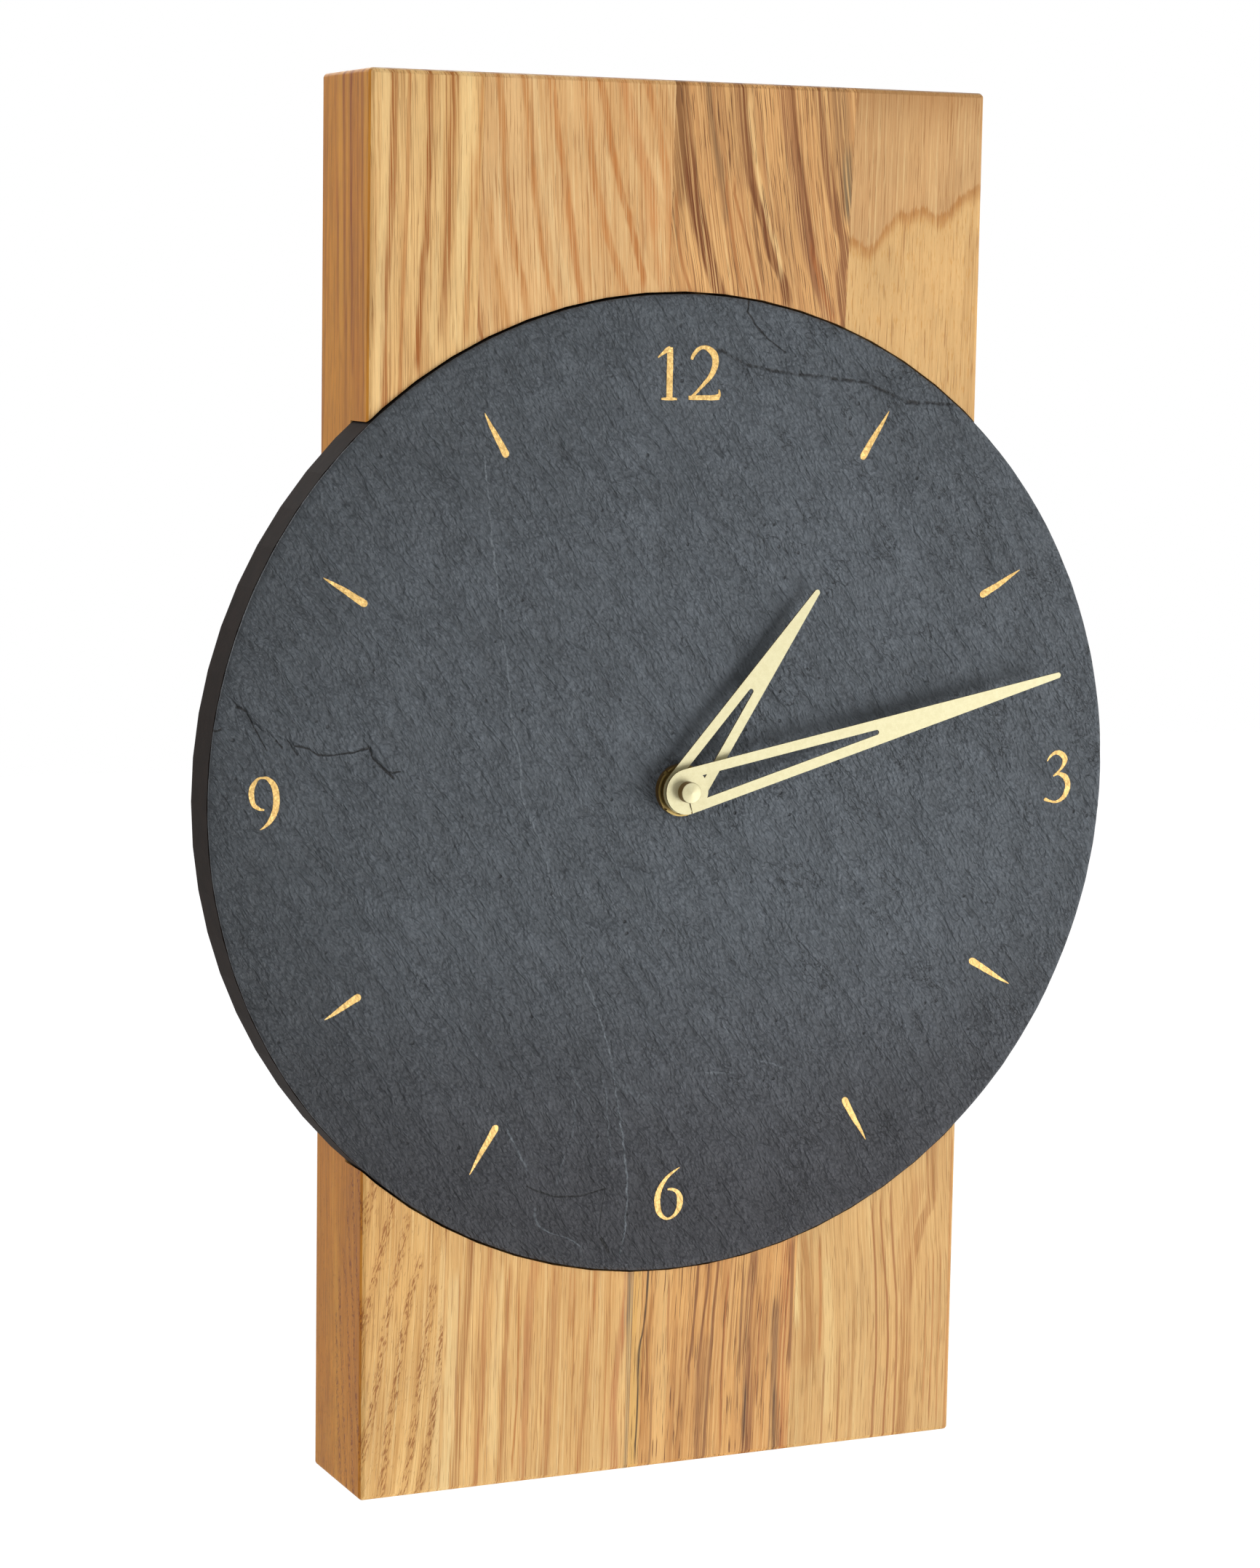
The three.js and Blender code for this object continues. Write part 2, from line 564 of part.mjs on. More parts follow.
function addMotionWork() {
  const motionModule = moduleOf(MOTION_DISTANCE, CANNON_TEETH, MOTION_WHEEL_TEETH);
  const hourModule = moduleOf(MOTION_DISTANCE, MOTION_PINION_TEETH, HOUR_TEETH);
  const tubeBore = MINUTE_ARBOR_DIAMETER / 2 + RUNNING;
  const pinionPhase = 0;
  const hourPhase = meshPhase(pinionPhase, MOTION_PINION_TEETH, RIGHT, HOUR_TEETH);
  add('hour_wheel', hub(join(
    gear(HOUR_TEETH, hourModule, hourFront, hourBack, hourPhase, tubeBore),
    tube(HOUR_TUBE_DIAMETER / 2, tubeBore, hourHandFront - PLAY / 2, hourFront + PLAY / 2, 20),
  )), brass);

  const cannonPhase = minuteAngle;
  const motionPhase = meshPhase(cannonPhase, CANNON_TEETH, LEFT, MOTION_WHEEL_TEETH);
  const studBore = STUD_DIAMETER / 2 + RUNNING;
  add('motion_wheel', hub(join(
    gear(MOTION_WHEEL_TEETH, motionModule, motionFront, motionBack, motionPhase, studBore),
    gear(MOTION_PINION_TEETH, hourModule, hourFront, motionFront + PLAY / 2, pinionPhase, studBore),
  ), -MOTION_DISTANCE), brass);

  const threadEnd = minuteHandFront - CAP_HEIGHT + CAP_CONE + CAP_WALL + RUNNING;
  const bore = MINUTE_BORE_DIAMETER / 2;
  const boreEnd = innerFront;
  const neck = CLUTCH_NECK_DIAMETER / 2;
  const grip = PLAY / 2;
  const shaft = lathe([
    [0, threadEnd], [MINUTE_THREAD_DIAMETER / 2, threadEnd], [MINUTE_THREAD_DIAMETER / 2, minuteHandBack],
    [MINUTE_ARBOR_DIAMETER / 2, minuteHandBack], [MINUTE_ARBOR_DIAMETER / 2, cannonBack],
    [neck, cannonBack], [neck, centreBack + grip], [bore, centreBack + grip], [bore, boreEnd], [0, boreEnd],
  ], 20);
  add('cannon_pinion', hub(join(
    shaft, gear(CANNON_TEETH, motionModule, cannonFront, cannonBack, cannonPhase, bore + RUNNING),
  )), brass);

  const settingPhase = meshPhase(motionPhase, MOTION_WHEEL_TEETH, LEFT, SETTING_TEETH);
  const stemEnd = caseBack + PLAY + KNOB_HEIGHT / 2;
  add('setting_stem', hub(join(
    gear(SETTING_TEETH, motionModule, cannonFront, cannonBack, settingPhase),
    tube(STEM_DIAMETER / 2, 0, cannonFront, stemEnd, 16),
    tube(arbor, 0, innerFront - PIVOT_DEPTH, cannonFront + PLAY, 12),
  ), stemX), brass);
  const ribs = [];
  for (let i = 0; i < KNOB_RIBS; i += 1) {
    const turn = 2 * Math.PI * i / KNOB_RIBS;
    const step = Math.PI / KNOB_RIBS;
    const outer = KNOB_DIAMETER / 2;
    ribs.push(new THREE.Vector2(outer * Math.cos(turn), outer * Math.sin(turn)));
    ribs.push(new THREE.Vector2((outer - PLAY) * Math.cos(turn + step), (outer - PLAY) * Math.sin(turn + step)));
  }
  const knob = plate(new THREE.Shape(ribs), caseBack + PLAY, caseBack + PLAY + KNOB_HEIGHT);
  const socket = tube(STEM_DIAMETER / 2 + THREAD_CLEARANCE, 0, caseBack, stemEnd + RUNNING, 16);
  add('setting_knob', hub(cut(knob, socket), stemX), whitePlastic);
}

function addGoingTrain() {
  const secondsModule = moduleOf(STEP_DISTANCE, SECONDS_TEETH, STEP_PINION_TEETH);
  const stepModule = moduleOf(ROTOR_DISTANCE, STEP_TEETH, ROTOR_TEETH);
  const pivotFront = plateBack - PIVOT_DEPTH;
  const pivotBack = bossFront + PIVOT_DEPTH;

  const rotorPhase = 0;
  const stepPhase = meshPhase(rotorPhase, ROTOR_TEETH, 180, STEP_TEETH);
  const stepPinionPhase = 0;
  const secondsPhase = meshPhase(stepPinionPhase, STEP_PINION_TEETH, 180, SECONDS_TEETH);
  const secondsPinionPhase = 0;
  const thirdPhase = meshPhase(secondsPinionPhase, SECONDS_PINION_TEETH, RIGHT, THIRD_TEETH);
  const thirdPinionPhase = 0;
  const centrePhase = meshPhase(thirdPinionPhase, THIRD_PINION_TEETH, LEFT, CENTRE_TEETH);

  const grip = PLAY / 2;
  add('centre_wheel', hub(gear(
    CENTRE_TEETH, centreModule, centreFront, centreBack, centrePhase, CLUTCH_NECK_DIAMETER / 2 + RUNNING)), brass);
  add('third_wheel', hub(join(
    gear(THIRD_TEETH, thirdModule, thirdFront, thirdBack, thirdPhase),
    gear(THIRD_PINION_TEETH, centreModule, centreFront - grip, thirdFront + grip, thirdPinionPhase),
    tube(arbor, 0, innerFront - PIVOT_DEPTH, pivotBack, 12),
  ), THIRD_DISTANCE), brass);
  add('seconds_wheel', hub(join(
    gear(SECONDS_TEETH, secondsModule, secondsFront, secondsBack, secondsPhase),
    gear(SECONDS_PINION_TEETH, thirdModule, thirdFront - grip, secondsFront + grip, secondsPinionPhase),
    tube(arbor, 0, cannonBack - ARBOR_REACH, pivotBack, 12),
  )), brass);
  add('step_wheel', hub(join(
    gear(STEP_TEETH, stepModule, stepFront, stepBack, stepPhase),
    gear(STEP_PINION_TEETH, secondsModule, secondsFront - grip, stepFront + grip, stepPinionPhase),
    tube(arbor, 0, pivotFront, pivotBack, 12),
  ), 0, STEP_DISTANCE), whitePlastic);
  const magnetBack = stepFront - LEVEL_GAP;
  const magnetFront = magnetBack - MAGNET_THICKNESS;
  add('rotor_pinion', hub(join(
    gear(ROTOR_TEETH, stepModule, stepFront - grip, stepBack + grip, rotorPhase),
    tube(arbor, 0, pivotFront, pivotBack, 12),
  ), 0, rotorZ), whitePlastic);
  add('rotor_magnet', hub(tube(
    MAGNET_DIAMETER / 2, arbor + THREAD_CLEARANCE, magnetFront, magnetBack, 20), 0, rotorZ), steel);
  addMotor((magnetFront + magnetBack - STATOR_THICKNESS) / 2);
}

// Stepping motor: a soft-iron stator round the magnet, and a coil on the core that bridges its legs
function addMotor(front) {
  const back = front + STATOR_THICKNESS;
  const gap = MAGNET_DIAMETER / 2 + STATOR_AIR_GAP;
  const low = rotorZ - gap - STATOR_WEB;
  const high = rotorZ + gap + STATOR_WEB;
  const legInner = COIL_LENGTH / 2 + STATOR_AIR_GAP;
  const legOuter = legInner + STATOR_LEG;
  const legTop = coilZ + CORE_WIDTH / 2 + STATOR_AIR_GAP;
  const neck = gap + STATOR_WEB;
  const armLow = rotorZ - STATOR_LEG / 2;
  const armHigh = rotorZ + STATOR_LEG / 2;
  const half = [
    [0, low], [neck, low], [neck, armLow], [legOuter, armLow], [legOuter, legTop], [legInner, legTop],
    [legInner, armHigh], [neck, armHigh], [neck, high], [0, high],
  ];
  const mirrored = half.slice(1, -1).reverse().map(([x, z]) => [-x, z]);
  const outline = new THREE.Shape([...half, ...mirrored].map(([x, z]) => new THREE.Vector2(x, z)));
  const hole = new THREE.Path();
  hole.absarc(0, rotorZ, gap, 0, 2 * Math.PI);
  outline.holes.push(hole);
  add('stator', hub(plate(outline, front, back)), steel);

  const coreBack = back + CORE_THICKNESS;
  add('coil_core', hub(box(-legOuter, legOuter, back, coreBack,
    coilZ - CORE_WIDTH / 2, coilZ + CORE_WIDTH / 2)), steel);
  const axisY = (back + coreBack) / 2;
  const along = (geometry) => hub(geometry.rotateZ(-Math.PI / 2).translate(0, axisY, coilZ));
  const halfLength = COIL_LENGTH / 2 - RUNNING;
  const inner = halfLength - BOBBIN_WALL;
  const barrel = BOBBIN_BORE_RADIUS + BOBBIN_WALL;
  add('coil_bobbin', along(lathe([
    [BOBBIN_BORE_RADIUS, -halfLength], [FLANGE_RADIUS, -halfLength], [FLANGE_RADIUS, -inner],
    [barrel, -inner], [barrel, inner], [FLANGE_RADIUS, inner], [FLANGE_RADIUS, halfLength],
    [BOBBIN_BORE_RADIUS, halfLength],
  ], 16)), whitePlastic);
  add('coil_winding', along(tube(
    COIL_RADIUS, barrel + THREAD_CLEARANCE, -inner + RUNNING, inner - RUNNING, 16)), copper);
}

// Where posts and pins stand inside the case
const postX = caseHalfWidth - CASE_WALL - POST_RADIUS - POST_INSET;
const lowPostZ = -trainRoom + POST_RADIUS + LOW_POST_INSET;
const highPostZ = rotorZ;
const circuitFront = bossFront + RUNNING;
const circuitBack = circuitFront + CIRCUIT_THICKNESS;

function addTrainPlate() {
  const half = caseHalfWidth - CASE_WALL - RUNNING;
  const top = highPostZ + POST_RADIUS;
  const outline = roundedRectangle(-half, half, -trainRoom + RUNNING, top, CASE_CORNER - CASE_WALL + RUNNING);
  const circle = (x, z, r) => {
    const path = new THREE.Path();
    path.absarc(x, z, r, 0, 2 * Math.PI);
    outline.holes.push(path);
  };
  circle(0, 0, arbor + 2 * RUNNING);
  circle(THIRD_DISTANCE, 0, centreModule * THIRD_PINION_TEETH / 2 + centreModule + 2 * RUNNING);
  circle(stemX, 0, STEM_DIAMETER / 2 + 2 * RUNNING);
  for (const x of [-postX, postX])
    for (const z of [lowPostZ, highPostZ]) circle(x, z, PIN_RADIUS + RUNNING);
  const pivots = [STEP_DISTANCE, rotorZ].map((z) => moved(tube(
    arbor + RUNNING, 0, plateBack - PIVOT_DEPTH - RUNNING, plateBack + 1, 12), 0, z));
  add('train_plate', hub(cut(plate(outline, plateFront, plateBack, { curveSegments: 6 }), ...pivots)), whitePlastic);
}

function addCase() {
  const half = caseHalfWidth;
  const inner = half - CASE_WALL;
  const shell = plate(roundedRectangle(-half, half, caseBottom, caseTop, CASE_CORNER),
    caseFront, coverFront, { curveSegments: 4 });
  const innerCorner = CASE_CORNER - CASE_WALL;
  const train = plate(roundedRectangle(-inner, inner, -trainRoom, caseTop - CASE_WALL, innerCorner),
    innerFront, coverFront + 1, { curveSegments: 3 });
  const bay = plate(roundedRectangle(-inner, inner, bayBottom, bayTop, innerCorner),
    innerFront, coverFront + 1, { curveSegments: 3 });
  const bush = tube(BUSH_DIAMETER / 2, 0, bushFront, innerFront - RUNNING);
  const bushBore = tube(
    (HOUR_TUBE_DIAMETER / 2 + RUNNING) / Math.cos(Math.PI / 24), 0, bushFront - 1, innerFront + 1);
  const posts = [];
  for (const x of [-postX, postX]) {
    for (const z of [lowPostZ, highPostZ]) {
      const pinEnd = z === lowPostZ ? circuitFront - RUNNING : plateBack + PLAY;
      posts.push(moved(tube(POST_RADIUS, 0, innerFront - RUNNING, plateFront, 10), x, z));
      posts.push(moved(tube(PIN_RADIUS, 0, plateFront - RUNNING, pinEnd, 10), x, z));
    }
  }
  const stud = moved(tube(STUD_DIAMETER / 2, 0, innerFront - RUNNING, motionBack, 16), -MOTION_DISTANCE, 0);
  const hollow = cut(shell, train, bay);
  const body = join(hollow, bush, stud, ...posts);
  const pivots = [stemX, THIRD_DISTANCE].map((x) => moved(tube(
    arbor + RUNNING, 0, innerFront - PIVOT_DEPTH - RUNNING, innerFront + 1, 12), x, 0));
  add('movement_case', hub(cut(body, bushBore, ...pivots)), blackPlastic);
}

function addCover() {
  const half = caseHalfWidth;
  const inner = half - CASE_WALL;
  const innerCorner = CASE_CORNER - CASE_WALL;
  const backWall = caseBack - COVER_WALL;
  const shell = plate(roundedRectangle(-half, half, caseBottom, caseTop, CASE_CORNER),
    coverFront, caseBack, { curveSegments: 4 });
  const hollow = plate(roundedRectangle(-inner, inner, bayBottom, caseTop - CASE_WALL, innerCorner),
    coverFront - 1, backWall, { curveSegments: 3 });
  const window = box(-inner + CASE_WALL, inner - CASE_WALL, backWall - 1, caseBack + 1, bayBottom, bayTop);
  const rib = box(-inner + CASE_WALL * 2, inner - CASE_WALL * 2, circuitBack + RUNNING, backWall + RUNNING,
    bayTop, bayTop + PARTITION);
  const bosses = [[THIRD_DISTANCE, 0], [0, 0], [0, STEP_DISTANCE], [0, rotorZ]].map(([x, z]) => moved(tube(
    BOSS_RADIUS, arbor + RUNNING, bossFront, backWall + RUNNING, 12), x, z));
  const stemHole = moved(tube(STEM_DIAMETER / 2 + 2 * RUNNING, 0, backWall - 1, caseBack + 1, 16), stemX, 0);
  const plain = cut(shell, hollow, window, stemHole);
  add('movement_cover', hub(join(plain, rib, ...bosses)), blackPlastic);
}

function addPower() {
  const inner = caseHalfWidth - CASE_WALL;
  const middleY = innerFront + BATTERY_CLEARANCE + BATTERY_DIAMETER / 2;
  const middleZ = (bayBottom + bayTop) / 2;
  const positiveEnd = inner - CONTACT_THICKNESS - PLAY;
  const negativeEnd = positiveEnd - BATTERY_LENGTH;
  const nub = positiveEnd - BATTERY_NUB_LENGTH;
  const r = BATTERY_DIAMETER / 2;
  const nubR = BATTERY_NUB_DIAMETER / 2;
  const battery = lathe([
    [0, negativeEnd], [r - PLAY, negativeEnd], [r, negativeEnd + PLAY], [r, nub - PLAY], [r - PLAY, nub],
    [nubR, nub], [nubR, positiveEnd], [0, positiveEnd],
  ], 20);
  add('battery', hub(battery.rotateZ(-Math.PI / 2).translate(0, middleY, middleZ)), batteryBlue);

  const halfWidth = CONTACT_WIDTH / 2;
  const tabFront = circuitFront - CONTACT_LAP;
  const tab = (x0, x1) => box(x0, x1, tabFront, tabFront + CONTACT_TAB, middleZ, -trainRoom + CONTACT_TAB);
  const flat = box(inner - CONTACT_THICKNESS, inner - THREAD_CLEARANCE, middleY - halfWidth,
    middleY + halfWidth, middleZ - halfWidth, middleZ + halfWidth);
  add('contact_positive', hub(join(flat, tab(inner - CONTACT_THICKNESS, inner - THREAD_CLEARANCE))), steel);

  const x0 = -inner + THREAD_CLEARANCE;
  const x1 = -inner + CONTACT_THICKNESS;
  const reach = negativeEnd - PLAY;
  const wide = halfWidth - PLAY;
  const leaf = new THREE.Shape([
    [x1, -wide], [reach, -PLAY], [reach, PLAY], [x1, wide], [x1, wide - CONTACT_THICKNESS * 2],
    [reach - CONTACT_THICKNESS * 1.2, 0], [x1, -wide + CONTACT_THICKNESS * 2],
  ].map(([x, z]) => new THREE.Vector2(x, z)));
  const spring = moved(plate(leaf, middleY - halfWidth / 2, middleY + halfWidth / 2), -RUNNING, middleZ);
  const back = box(x0, x1, middleY - halfWidth, middleY + halfWidth, middleZ - halfWidth, middleZ + halfWidth);
  add('contact_negative', hub(join(back, spring, tab(x0, x1))), steel);

  const boardX = inner - CONTACT_THICKNESS - RUNNING;
  const boardLow = -trainRoom + RUNNING;
  add('circuit_board', hub(box(-boardX, boardX, circuitFront, circuitBack,
    boardLow, boardLow + CIRCUIT_HEIGHT)), circuitGreen);
  const crystal = tube(CRYSTAL_DIAMETER / 2, 0, 0, CRYSTAL_LENGTH, 16).rotateZ(-Math.PI / 2);
  add('quartz_crystal', hub(crystal.translate(
    CRYSTAL_X, circuitBack + CRYSTAL_DIAMETER / 2 + THREAD_CLEARANCE, boardLow + CIRCUIT_HEIGHT / 2)), steel);
}

addBoard();
addHanger();
addDial();
addHands();
addHubTrim();
addMotionWork();
addGoingTrain();
addTrainPlate();
addCase();
addCover();
addPower();

export default clock;
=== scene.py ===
# Looks of a wall clock: a round slate dial with gilt numerals, set into a block of glued oak staves.
# Sizes and places are in mm from the hub: x to the right, z up, y as in the frame.
# The camera, the lamps and the floor are placed in metres, in the frame.
import math

import bpy
import numpy as np
from mathutils import Matrix, Vector


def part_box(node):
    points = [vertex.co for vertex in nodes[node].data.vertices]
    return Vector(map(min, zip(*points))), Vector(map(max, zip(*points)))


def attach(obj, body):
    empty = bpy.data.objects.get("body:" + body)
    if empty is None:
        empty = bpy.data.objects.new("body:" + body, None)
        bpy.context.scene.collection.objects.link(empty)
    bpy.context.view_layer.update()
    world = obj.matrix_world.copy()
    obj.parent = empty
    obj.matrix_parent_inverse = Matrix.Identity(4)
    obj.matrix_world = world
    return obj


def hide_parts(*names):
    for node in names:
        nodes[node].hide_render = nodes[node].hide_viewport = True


MM = 0.001

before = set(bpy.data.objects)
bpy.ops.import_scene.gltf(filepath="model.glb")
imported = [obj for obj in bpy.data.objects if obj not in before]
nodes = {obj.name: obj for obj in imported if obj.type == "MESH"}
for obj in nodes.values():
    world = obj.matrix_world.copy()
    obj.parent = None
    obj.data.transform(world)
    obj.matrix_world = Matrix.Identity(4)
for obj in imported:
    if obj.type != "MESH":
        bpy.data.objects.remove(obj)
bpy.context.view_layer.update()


def hub_place():
    """The middle of the round nut, in mm of the frame."""
    low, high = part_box("round_nut")
    return (low.x + high.x) / 2 / MM, (low.z + high.z) / 2 / MM


HUB_X, HUB_Z = hub_place()
SLATE_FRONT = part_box("dial_slate")[0].y / MM
SLATE_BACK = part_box("dial_slate")[1].y / MM
DISC_RADIUS = (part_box("dial_backing")[1].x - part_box("dial_backing")[0].x) / 2 / MM
# radius of the hole in the slate, round the movement's bush
SLATE_BORE = 4.3

# Camera and light

CAMERA_PLACE = (-0.4876, -1.0742, -0.0211)
CAMERA_AHEAD = (0.4122, 0.9023, -0.1265)
CAMERA_UP = (0.0376, 0.1219, 0.9918)
CAMERA_LENS = 86.60
CAMERA_SENSOR = 36
CAMERA_CLIP = (0.05, 60)

# name: place, side of the square, power
LAMPS = {
    "key": ((1.75, -1.75, -0.95), 1.5, 62),
    "fill": ((-1.8, -0.6, 0.7), 1.6, 13),
    "back": ((0.3, 2.0, 1.2), 2.0, 30),
}
WORLD_LIGHT = 0.28
FLOOR_HEIGHT = -2.0
FLOOR_HALF = 14
FLOOR_GREY = 0.82
FLOOR_GLOW = 0.85


def add_camera():
    camera = bpy.data.objects.new("camera", bpy.data.cameras.new("camera"))
    bpy.context.scene.collection.objects.link(camera)
    ahead = Vector(CAMERA_AHEAD).normalized()
    right = ahead.cross(Vector(CAMERA_UP)).normalized()
    up = right.cross(ahead)
    turn = Matrix((right, up, -ahead)).transposed().to_4x4()
    camera.matrix_world = Matrix.Translation(CAMERA_PLACE) @ turn
    camera.data.sensor_fit = "VERTICAL"
    camera.data.sensor_height = CAMERA_SENSOR
    camera.data.lens = CAMERA_LENS
    camera.data.clip_start, camera.data.clip_end = CAMERA_CLIP
    bpy.context.scene.camera = camera
    bpy.context.scene.view_settings.view_transform = "Standard"


def add_lamp(name, place, side, power):
    """A square lamp that shines at the hub."""
    lamp = bpy.data.lights.new(name, "AREA")
    lamp.shape = "SQUARE"
    lamp.size = side
    lamp.energy = power
    holder = bpy.data.objects.new(name, lamp)
    bpy.context.scene.collection.objects.link(holder)
    holder.location = place
    holder.rotation_mode = "QUATERNION"
    aim = Vector((0, 0, HUB_Z * MM)) - Vector(place)
    holder.rotation_quaternion = aim.to_track_quat("-Z", "Y")


def any_ray(tree, *kinds):
    """1 for light paths of the given kinds, and 0 for others."""
    path = tree.nodes.new("ShaderNodeLightPath")
    seen = path.outputs[kinds[0]]
    for kind in kinds[1:]:
        either = tree.nodes.new("ShaderNodeMath")
        either.operation = "MAXIMUM"
        tree.links.new(seen, either.inputs[0])
        tree.links.new(path.outputs[kind], either.inputs[1])
        seen = either.outputs[0]
    return seen


def add_world():
    """White to the camera and in reflections, and dimmer where it only lights the clock."""
    world = bpy.data.worlds.new("studio")
    bpy.context.scene.world = world
    world.use_nodes = True
    tree = world.node_tree
    tree.nodes.clear()
    new, link = tree.nodes.new, tree.links.new
    out = new("ShaderNodeOutputWorld")
    back = new("ShaderNodeBackground")
    level = new("ShaderNodeMapRange")
    level.inputs["To Min"].default_value = WORLD_LIGHT
    level.inputs["To Max"].default_value = 1.0
    seen = any_ray(tree, "Is Camera Ray", "Is Glossy Ray", "Is Transmission Ray")
    link(seen, level.inputs["Value"])
    back.inputs["Color"].default_value = (1, 1, 1, 1)
    link(level.outputs["Result"], back.inputs["Strength"])
    link(back.outputs[0], out.inputs["Surface"])


def add_floor():
    """A pale floor that glows only to the camera and in reflections."""
    half, height = FLOOR_HALF, FLOOR_HEIGHT
    corners = [(-half, -half, height), (half, -half, height), (half, half, height), (-half, half, height)]
    mesh = bpy.data.meshes.new("floor")
    mesh.from_pydata(corners, [], [(0, 1, 2, 3)])
    floor = bpy.data.objects.new("floor", mesh)
    bpy.context.scene.collection.objects.link(floor)
    material = bpy.data.materials.new("studio_floor")
    material.use_nodes = True
    tree = material.node_tree
    tree.nodes.clear()
    new, link = tree.nodes.new, tree.links.new
    out = new("ShaderNodeOutputMaterial")
    matt = new("ShaderNodeBsdfDiffuse")
    matt.inputs["Color"].default_value = (FLOOR_GREY, FLOOR_GREY, FLOOR_GREY, 1)
    glow = new("ShaderNodeEmission")
    level = new("ShaderNodeMath")
    level.operation = "MULTIPLY"
    level.inputs[1].default_value = FLOOR_GLOW
    link(any_ray(tree, "Is Camera Ray", "Is Glossy Ray"), level.inputs[0])
    link(level.outputs[0], glow.inputs["Strength"])
    both = new("ShaderNodeAddShader")
    link(matt.outputs[0], both.inputs[0])
    link(glow.outputs[0], both.inputs[1])
    link(both.outputs[0], out.inputs["Surface"])
    mesh.materials.append(material)


# Materials

def linear(colour):
    """A colour as on a screen, where 255 is full, turned into linear light."""
    out = []
    for value in colour:
        share = value / 255
        out.append(share / 12.92 if share <= 0.04045 else ((share + 0.055) / 1.055) ** 2.4)
    return (*out, 1)


class Graph:
    """One node-based material with a Principled shader. x, y and z are the surface's place in mm."""

    def __init__(self, name, roughness=0.5, metallic=0.0, specular=0.5):
        self.material = bpy.data.materials.new(name)
        self.material.use_nodes = True
        tree = self.material.node_tree
        tree.nodes.clear()
        self.new, self.link = tree.nodes.new, tree.links.new
        out = self.new("ShaderNodeOutputMaterial")
        self.shader = self.new("ShaderNodeBsdfPrincipled")
        self.shader.inputs["Roughness"].default_value = roughness
        self.shader.inputs["Metallic"].default_value = metallic
        self.shader.inputs["Specular IOR Level"].default_value = specular
        self.link(self.shader.outputs[0], out.inputs["Surface"])
        self.texture = self.new("ShaderNodeTexCoord")
        x, y, z = self.split("Object")
        self.x = self.madd(x, 1 / MM, -HUB_X)
        self.y = self.mul(y, 1 / MM)
        self.z = self.madd(z, 1 / MM, -HUB_Z)

    def split(self, vector):
        """The three shares of a texture coordinate, such as Object or Normal."""
        node = self.new("ShaderNodeSeparateXYZ")
        self.link(self.texture.outputs[vector], node.inputs[0])
        return node.outputs[0], node.outputs[1], node.outputs[2]

    def put(self, value, socket):
        if isinstance(value, bpy.types.NodeSocket):
            self.link(value, socket)
        elif isinstance(value, (tuple, list)) and len(value) == 3 and socket.type == "RGBA":
            socket.default_value = linear(value)
        else:
            socket.default_value = value

    def math(self, operation, *values, clamp=False):
        node = self.new("ShaderNodeMath")
        node.operation = operation
        node.use_clamp = clamp
        for socket, value in zip(node.inputs, values):
            self.put(value, socket)
        return node.outputs[0]

    def add(self, a, b):
        return self.math("ADD", a, b)

    def sub(self, a, b):
        return self.math("SUBTRACT", a, b)

    def mul(self, *values):
        out = values[0]
        for value in values[1:]:
            out = self.math("MULTIPLY", out, value)
        return out

    def madd(self, a, b, c):
        """a times b, plus c."""
        return self.math("MULTIPLY_ADD", a, b, c)

    def most(self, *values):
        out = values[0]
        for value in values[1:]:
            out = self.math("MAXIMUM", out, value)
        return out

    def off(self, value, middle=0.5):
        """How far a value lies from the middle, on either side."""
        return self.math("ABSOLUTE", self.sub(value, middle))

    def vector(self, x, y, z):
        node = self.new("ShaderNodeCombineXYZ")
        for socket, value in zip(node.inputs, (x, y, z)):
            self.put(value, socket)
        return node.outputs[0]

    def noise(self, x, y, z, detail=2.0, rough=0.5):
        """Fractal noise, about 0 to 1 round 0.5, at the given places in its own units."""
        node = self.new("ShaderNodeTexNoise")
        node.inputs["Scale"].default_value = 1.0
        node.inputs["Detail"].default_value = detail
        node.inputs["Roughness"].default_value = rough
        node.inputs["Distortion"].default_value = 0.0
        self.put(self.vector(x, y, z), node.inputs["Vector"])
        return node.outputs[0]

    def patch(self, scale, layer, detail=2.0, rough=0.5):
        """Noise over the front, with the given scale per mm. Each layer has its own pattern."""
        return self.noise(self.mul(self.x, scale), layer, self.mul(self.z, scale), detail, rough)

    def cells(self, x, y, z):
        """Distance to the nearest of some scattered points, in its own units."""
        node = self.new("ShaderNodeTexVoronoi")
        node.feature = "F1"
        node.inputs["Scale"].default_value = 1.0
        self.put(self.vector(x, y, z), node.inputs["Vector"])
        return node.outputs["Distance"]

    def ramp(self, value, start, end, low=0.0, high=1.0):
        """Goes smoothly from low at start to high at end."""
        node = self.new("ShaderNodeMapRange")
        node.interpolation_type = "SMOOTHSTEP"
        node.clamp = True
        flipped = end < start
        self.put(value, node.inputs["Value"])
        node.inputs["From Min"].default_value = end if flipped else start
        node.inputs["From Max"].default_value = start if flipped else end
        node.inputs["To Min"].default_value = high if flipped else low
        node.inputs["To Max"].default_value = low if flipped else high
        return node.outputs["Result"]

    def mix(self, share, a, b, blend="MIX"):
        node = self.new("ShaderNodeMix")
        node.data_type = "RGBA"
        node.blend_type = blend
        self.put(share, node.inputs[0])
        self.put(a, node.inputs[6])
        self.put(b, node.inputs[7])
        return node.outputs[2]

    def filter(self, colour, tint):
        """The colour as through a filter of the given tint."""
        return self.mix(1.0, colour, tint, "MULTIPLY")

    def tint(self, colour, share):
        """Darkens where share is under 1 and lightens where it is over 1."""
        node = self.new("ShaderNodeVectorMath")
        node.operation = "SCALE"
        self.put(colour, node.inputs[0])
        self.put(share, node.inputs["Scale"])
        return node.outputs[0]

